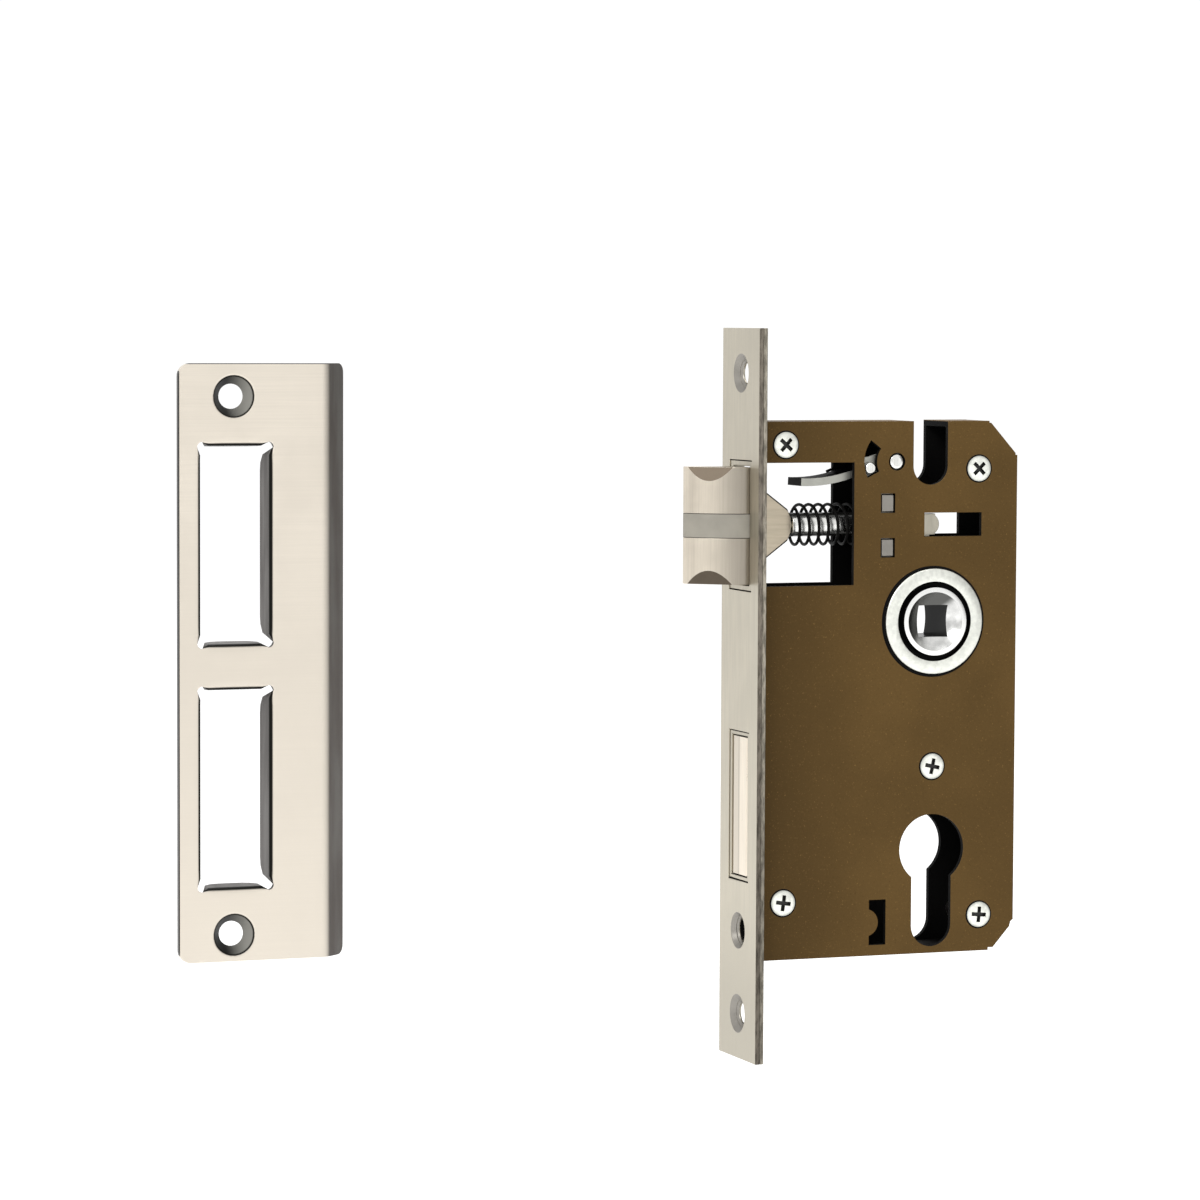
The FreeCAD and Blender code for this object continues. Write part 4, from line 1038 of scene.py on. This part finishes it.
# ---- stage ----
def build_stage():
    """The pale floor, the soft light and the camera."""
    low, high = CAD_BOX
    middle = (low + high) / 2
    count = 64
    r = np.array([0.3, 1.0, 2.5, 6.0]) / MM
    a = np.linspace(0, 2 * math.pi, count, endpoint=False)
    level = np.full((len(r), count), (low.z - 0.06) / MM)
    points = np.stack([middle.x / MM + r[:, None] * np.cos(a), r[:, None] * np.sin(a), level], -1)
    centre = np.array([[middle.x / MM, 0.0, level[0, 0]]])
    mesh = bpy.data.meshes.new("floor")
    where = np.concatenate([points.reshape(-1, 3), centre]) * MM
    fan = [(len(where) - 1, i, (i + 1) % count) for i in range(count)]
    mesh.from_pydata(where.tolist(), [],
                     grid_faces(len(r), count, False, True).tolist() + fan)
    tidy_mesh(mesh)
    mesh.materials.append(Finish("pale_floor").shade((0.6, 0.6, 0.6), 0.9, 0.0, specular=0.0,
                                                     glow=0.45))
    floor = put_in("floor", mesh)

    world = bpy.data.worlds.new("studio")
    bpy.context.scene.world = world
    sky = Finish("studio", world, "Generated")
    toward = sky.node("ShaderNodeVectorMath", {"operation": "DOT_PRODUCT"},
                      {0: sky.place, 1: (0.975, -0.22, 0.0)}, "Value")
    glow = sky.node("ShaderNodeBackground", sockets={
        "Color": (1.0, 1.0, 1.0, 1.0), "Strength": 1.04 - toward.between(0.66, 0.93) * 0.8})
    sky.node("ShaderNodeOutputWorld", sockets={"Surface": glow})

    def lamp(name, place, size, power):
        light = bpy.data.lights.new(name, "AREA")
        light.shape, light.size, light.energy = "DISK", size, power
        item = put_in(name, light)
        item.location = place
        item.rotation_mode = "QUATERNION"
        item.rotation_quaternion = (middle - Vector(place)).to_track_quat("-Z", "Y")

    lamp("key", (-1.3, -1.1, 1.3), 0.9, 22.0)
    lamp("top", (0.1, 0.2, 1.7), 1.2, 18.0)

    yaw, pitch, roll = math.radians(20.644), math.radians(3.577), math.radians(0.2497)
    ahead = Vector((math.sin(yaw) * math.cos(pitch), math.cos(yaw) * math.cos(pitch),
                    -math.sin(pitch)))
    right = Vector((math.cos(yaw), -math.sin(yaw), 0.0))
    above = right.cross(ahead)
    across = right * math.cos(roll) + above * math.sin(roll)
    upward = above * math.cos(roll) - right * math.sin(roll)
    target = Vector((-37.48, 0.0, 24.5)) * MM
    camera = bpy.data.cameras.new("view")
    camera.lens, camera.sensor_width = 136.648, 36.0
    camera.clip_start, camera.clip_end = 0.05, 50.0
    item = put_in("view", camera)
    turn = Matrix((across, upward, -ahead)).transposed()
    item.matrix_world = Matrix.Translation(target - ahead * 1.13) @ turn.to_4x4()
    bpy.context.scene.camera = item
    bpy.context.scene.view_settings.view_transform = "Standard"


# ---- operators and panel ----
def run(context, builder):
    """Runs one builder with the scene's sizes, and makes the finishes before the first."""
    if not FINISHES:
        make_finishes(context.scene.lock_colours)
    builder(context.scene.lock_sizes)
    return {"FINISHED"}


class LOCK_OT_case(bpy.types.Operator):
    """Build the case plates and their screws"""

    bl_idname = "lock.case"
    bl_label = "Case"

    def execute(self, context):
        return run(context, build_case)


class LOCK_OT_forend(bpy.types.Operator):
    """Build the forend and the bolts' guides"""

    bl_idname = "lock.forend"
    bl_label = "Forend"

    def execute(self, context):
        return run(context, build_forend)


class LOCK_OT_latch(bpy.types.Operator):
    """Build the latch, its rod and its spring"""

    bl_idname = "lock.latch"
    bl_label = "Latch"

    def execute(self, context):
        return run(context, build_latch)


class LOCK_OT_follower(bpy.types.Operator):
    """Build the follower, its cam and its bushes"""

    bl_idname = "lock.follower"
    bl_label = "Follower"

    def execute(self, context):
        return run(context, build_follower)


class LOCK_OT_deadbolt(bpy.types.Operator):
    """Build the deadbolt"""

    bl_idname = "lock.deadbolt"
    bl_label = "Deadbolt"

    def execute(self, context):
        return run(context, build_deadbolt)


class LOCK_OT_tumbler(bpy.types.Operator):
    """Build the tumbler"""

    bl_idname = "lock.tumbler"
    bl_label = "Tumbler"

    def execute(self, context):
        return run(context, build_tumbler)


class LOCK_OT_catch(bpy.types.Operator):
    """Build the reversing catch"""

    bl_idname = "lock.catch"
    bl_label = "Reversing catch"

    def execute(self, context):
        return run(context, build_catch)


class LOCK_OT_strike(bpy.types.Operator):
    """Build the strike plate"""

    bl_idname = "lock.strike"
    bl_label = "Strike plate"

    def execute(self, context):
        return run(context, build_strike)


class LOCK_OT_stage(bpy.types.Operator):
    """Set up the floor, the light and the camera"""

    bl_idname = "lock.stage"
    bl_label = "Stage"

    def execute(self, context):
        build_stage()
        return {"FINISHED"}


BUILDERS = (LOCK_OT_stage, LOCK_OT_case, LOCK_OT_forend, LOCK_OT_latch, LOCK_OT_follower,
            LOCK_OT_deadbolt, LOCK_OT_tumbler, LOCK_OT_catch, LOCK_OT_strike)


class LOCK_PT_panel(bpy.types.Panel):
    """The lock's sizes, colours and builders"""

    bl_idname = "LOCK_PT_panel"
    bl_label = "Mortise lock"
    bl_space_type = "VIEW_3D"
    bl_region_type = "UI"
    bl_category = "Mortise lock"

    def draw(self, context):
        """Lists the sizes, the colours and a button for each builder."""
        for group in (context.scene.lock_sizes, context.scene.lock_colours):
            column = self.layout.column(align=True)
            for key in group.__annotations__:
                column.prop(group, key)
        column = self.layout.column(align=True)
        for builder in BUILDERS:
            column.operator(builder.bl_idname)


CLASSES = (LockSizes, LockColours, *BUILDERS, LOCK_PT_panel)


def register():
    """Makes the sizes, colours, operators and panel known."""
    for item in CLASSES:
        bpy.utils.register_class(item)
    bpy.types.Scene.lock_sizes = bpy.props.PointerProperty(type=LockSizes)
    bpy.types.Scene.lock_colours = bpy.props.PointerProperty(type=LockColours)


def unregister():
    """Takes them away again."""
    del bpy.types.Scene.lock_sizes
    del bpy.types.Scene.lock_colours
    for item in reversed(CLASSES):
        bpy.utils.unregister_class(item)


def main():
    """Builds everything in order."""
    register()
    for builder in BUILDERS:
        family, name = builder.bl_idname.split(".")
        getattr(getattr(bpy.ops, family), name)()


if __name__ == "__main__":
    main()
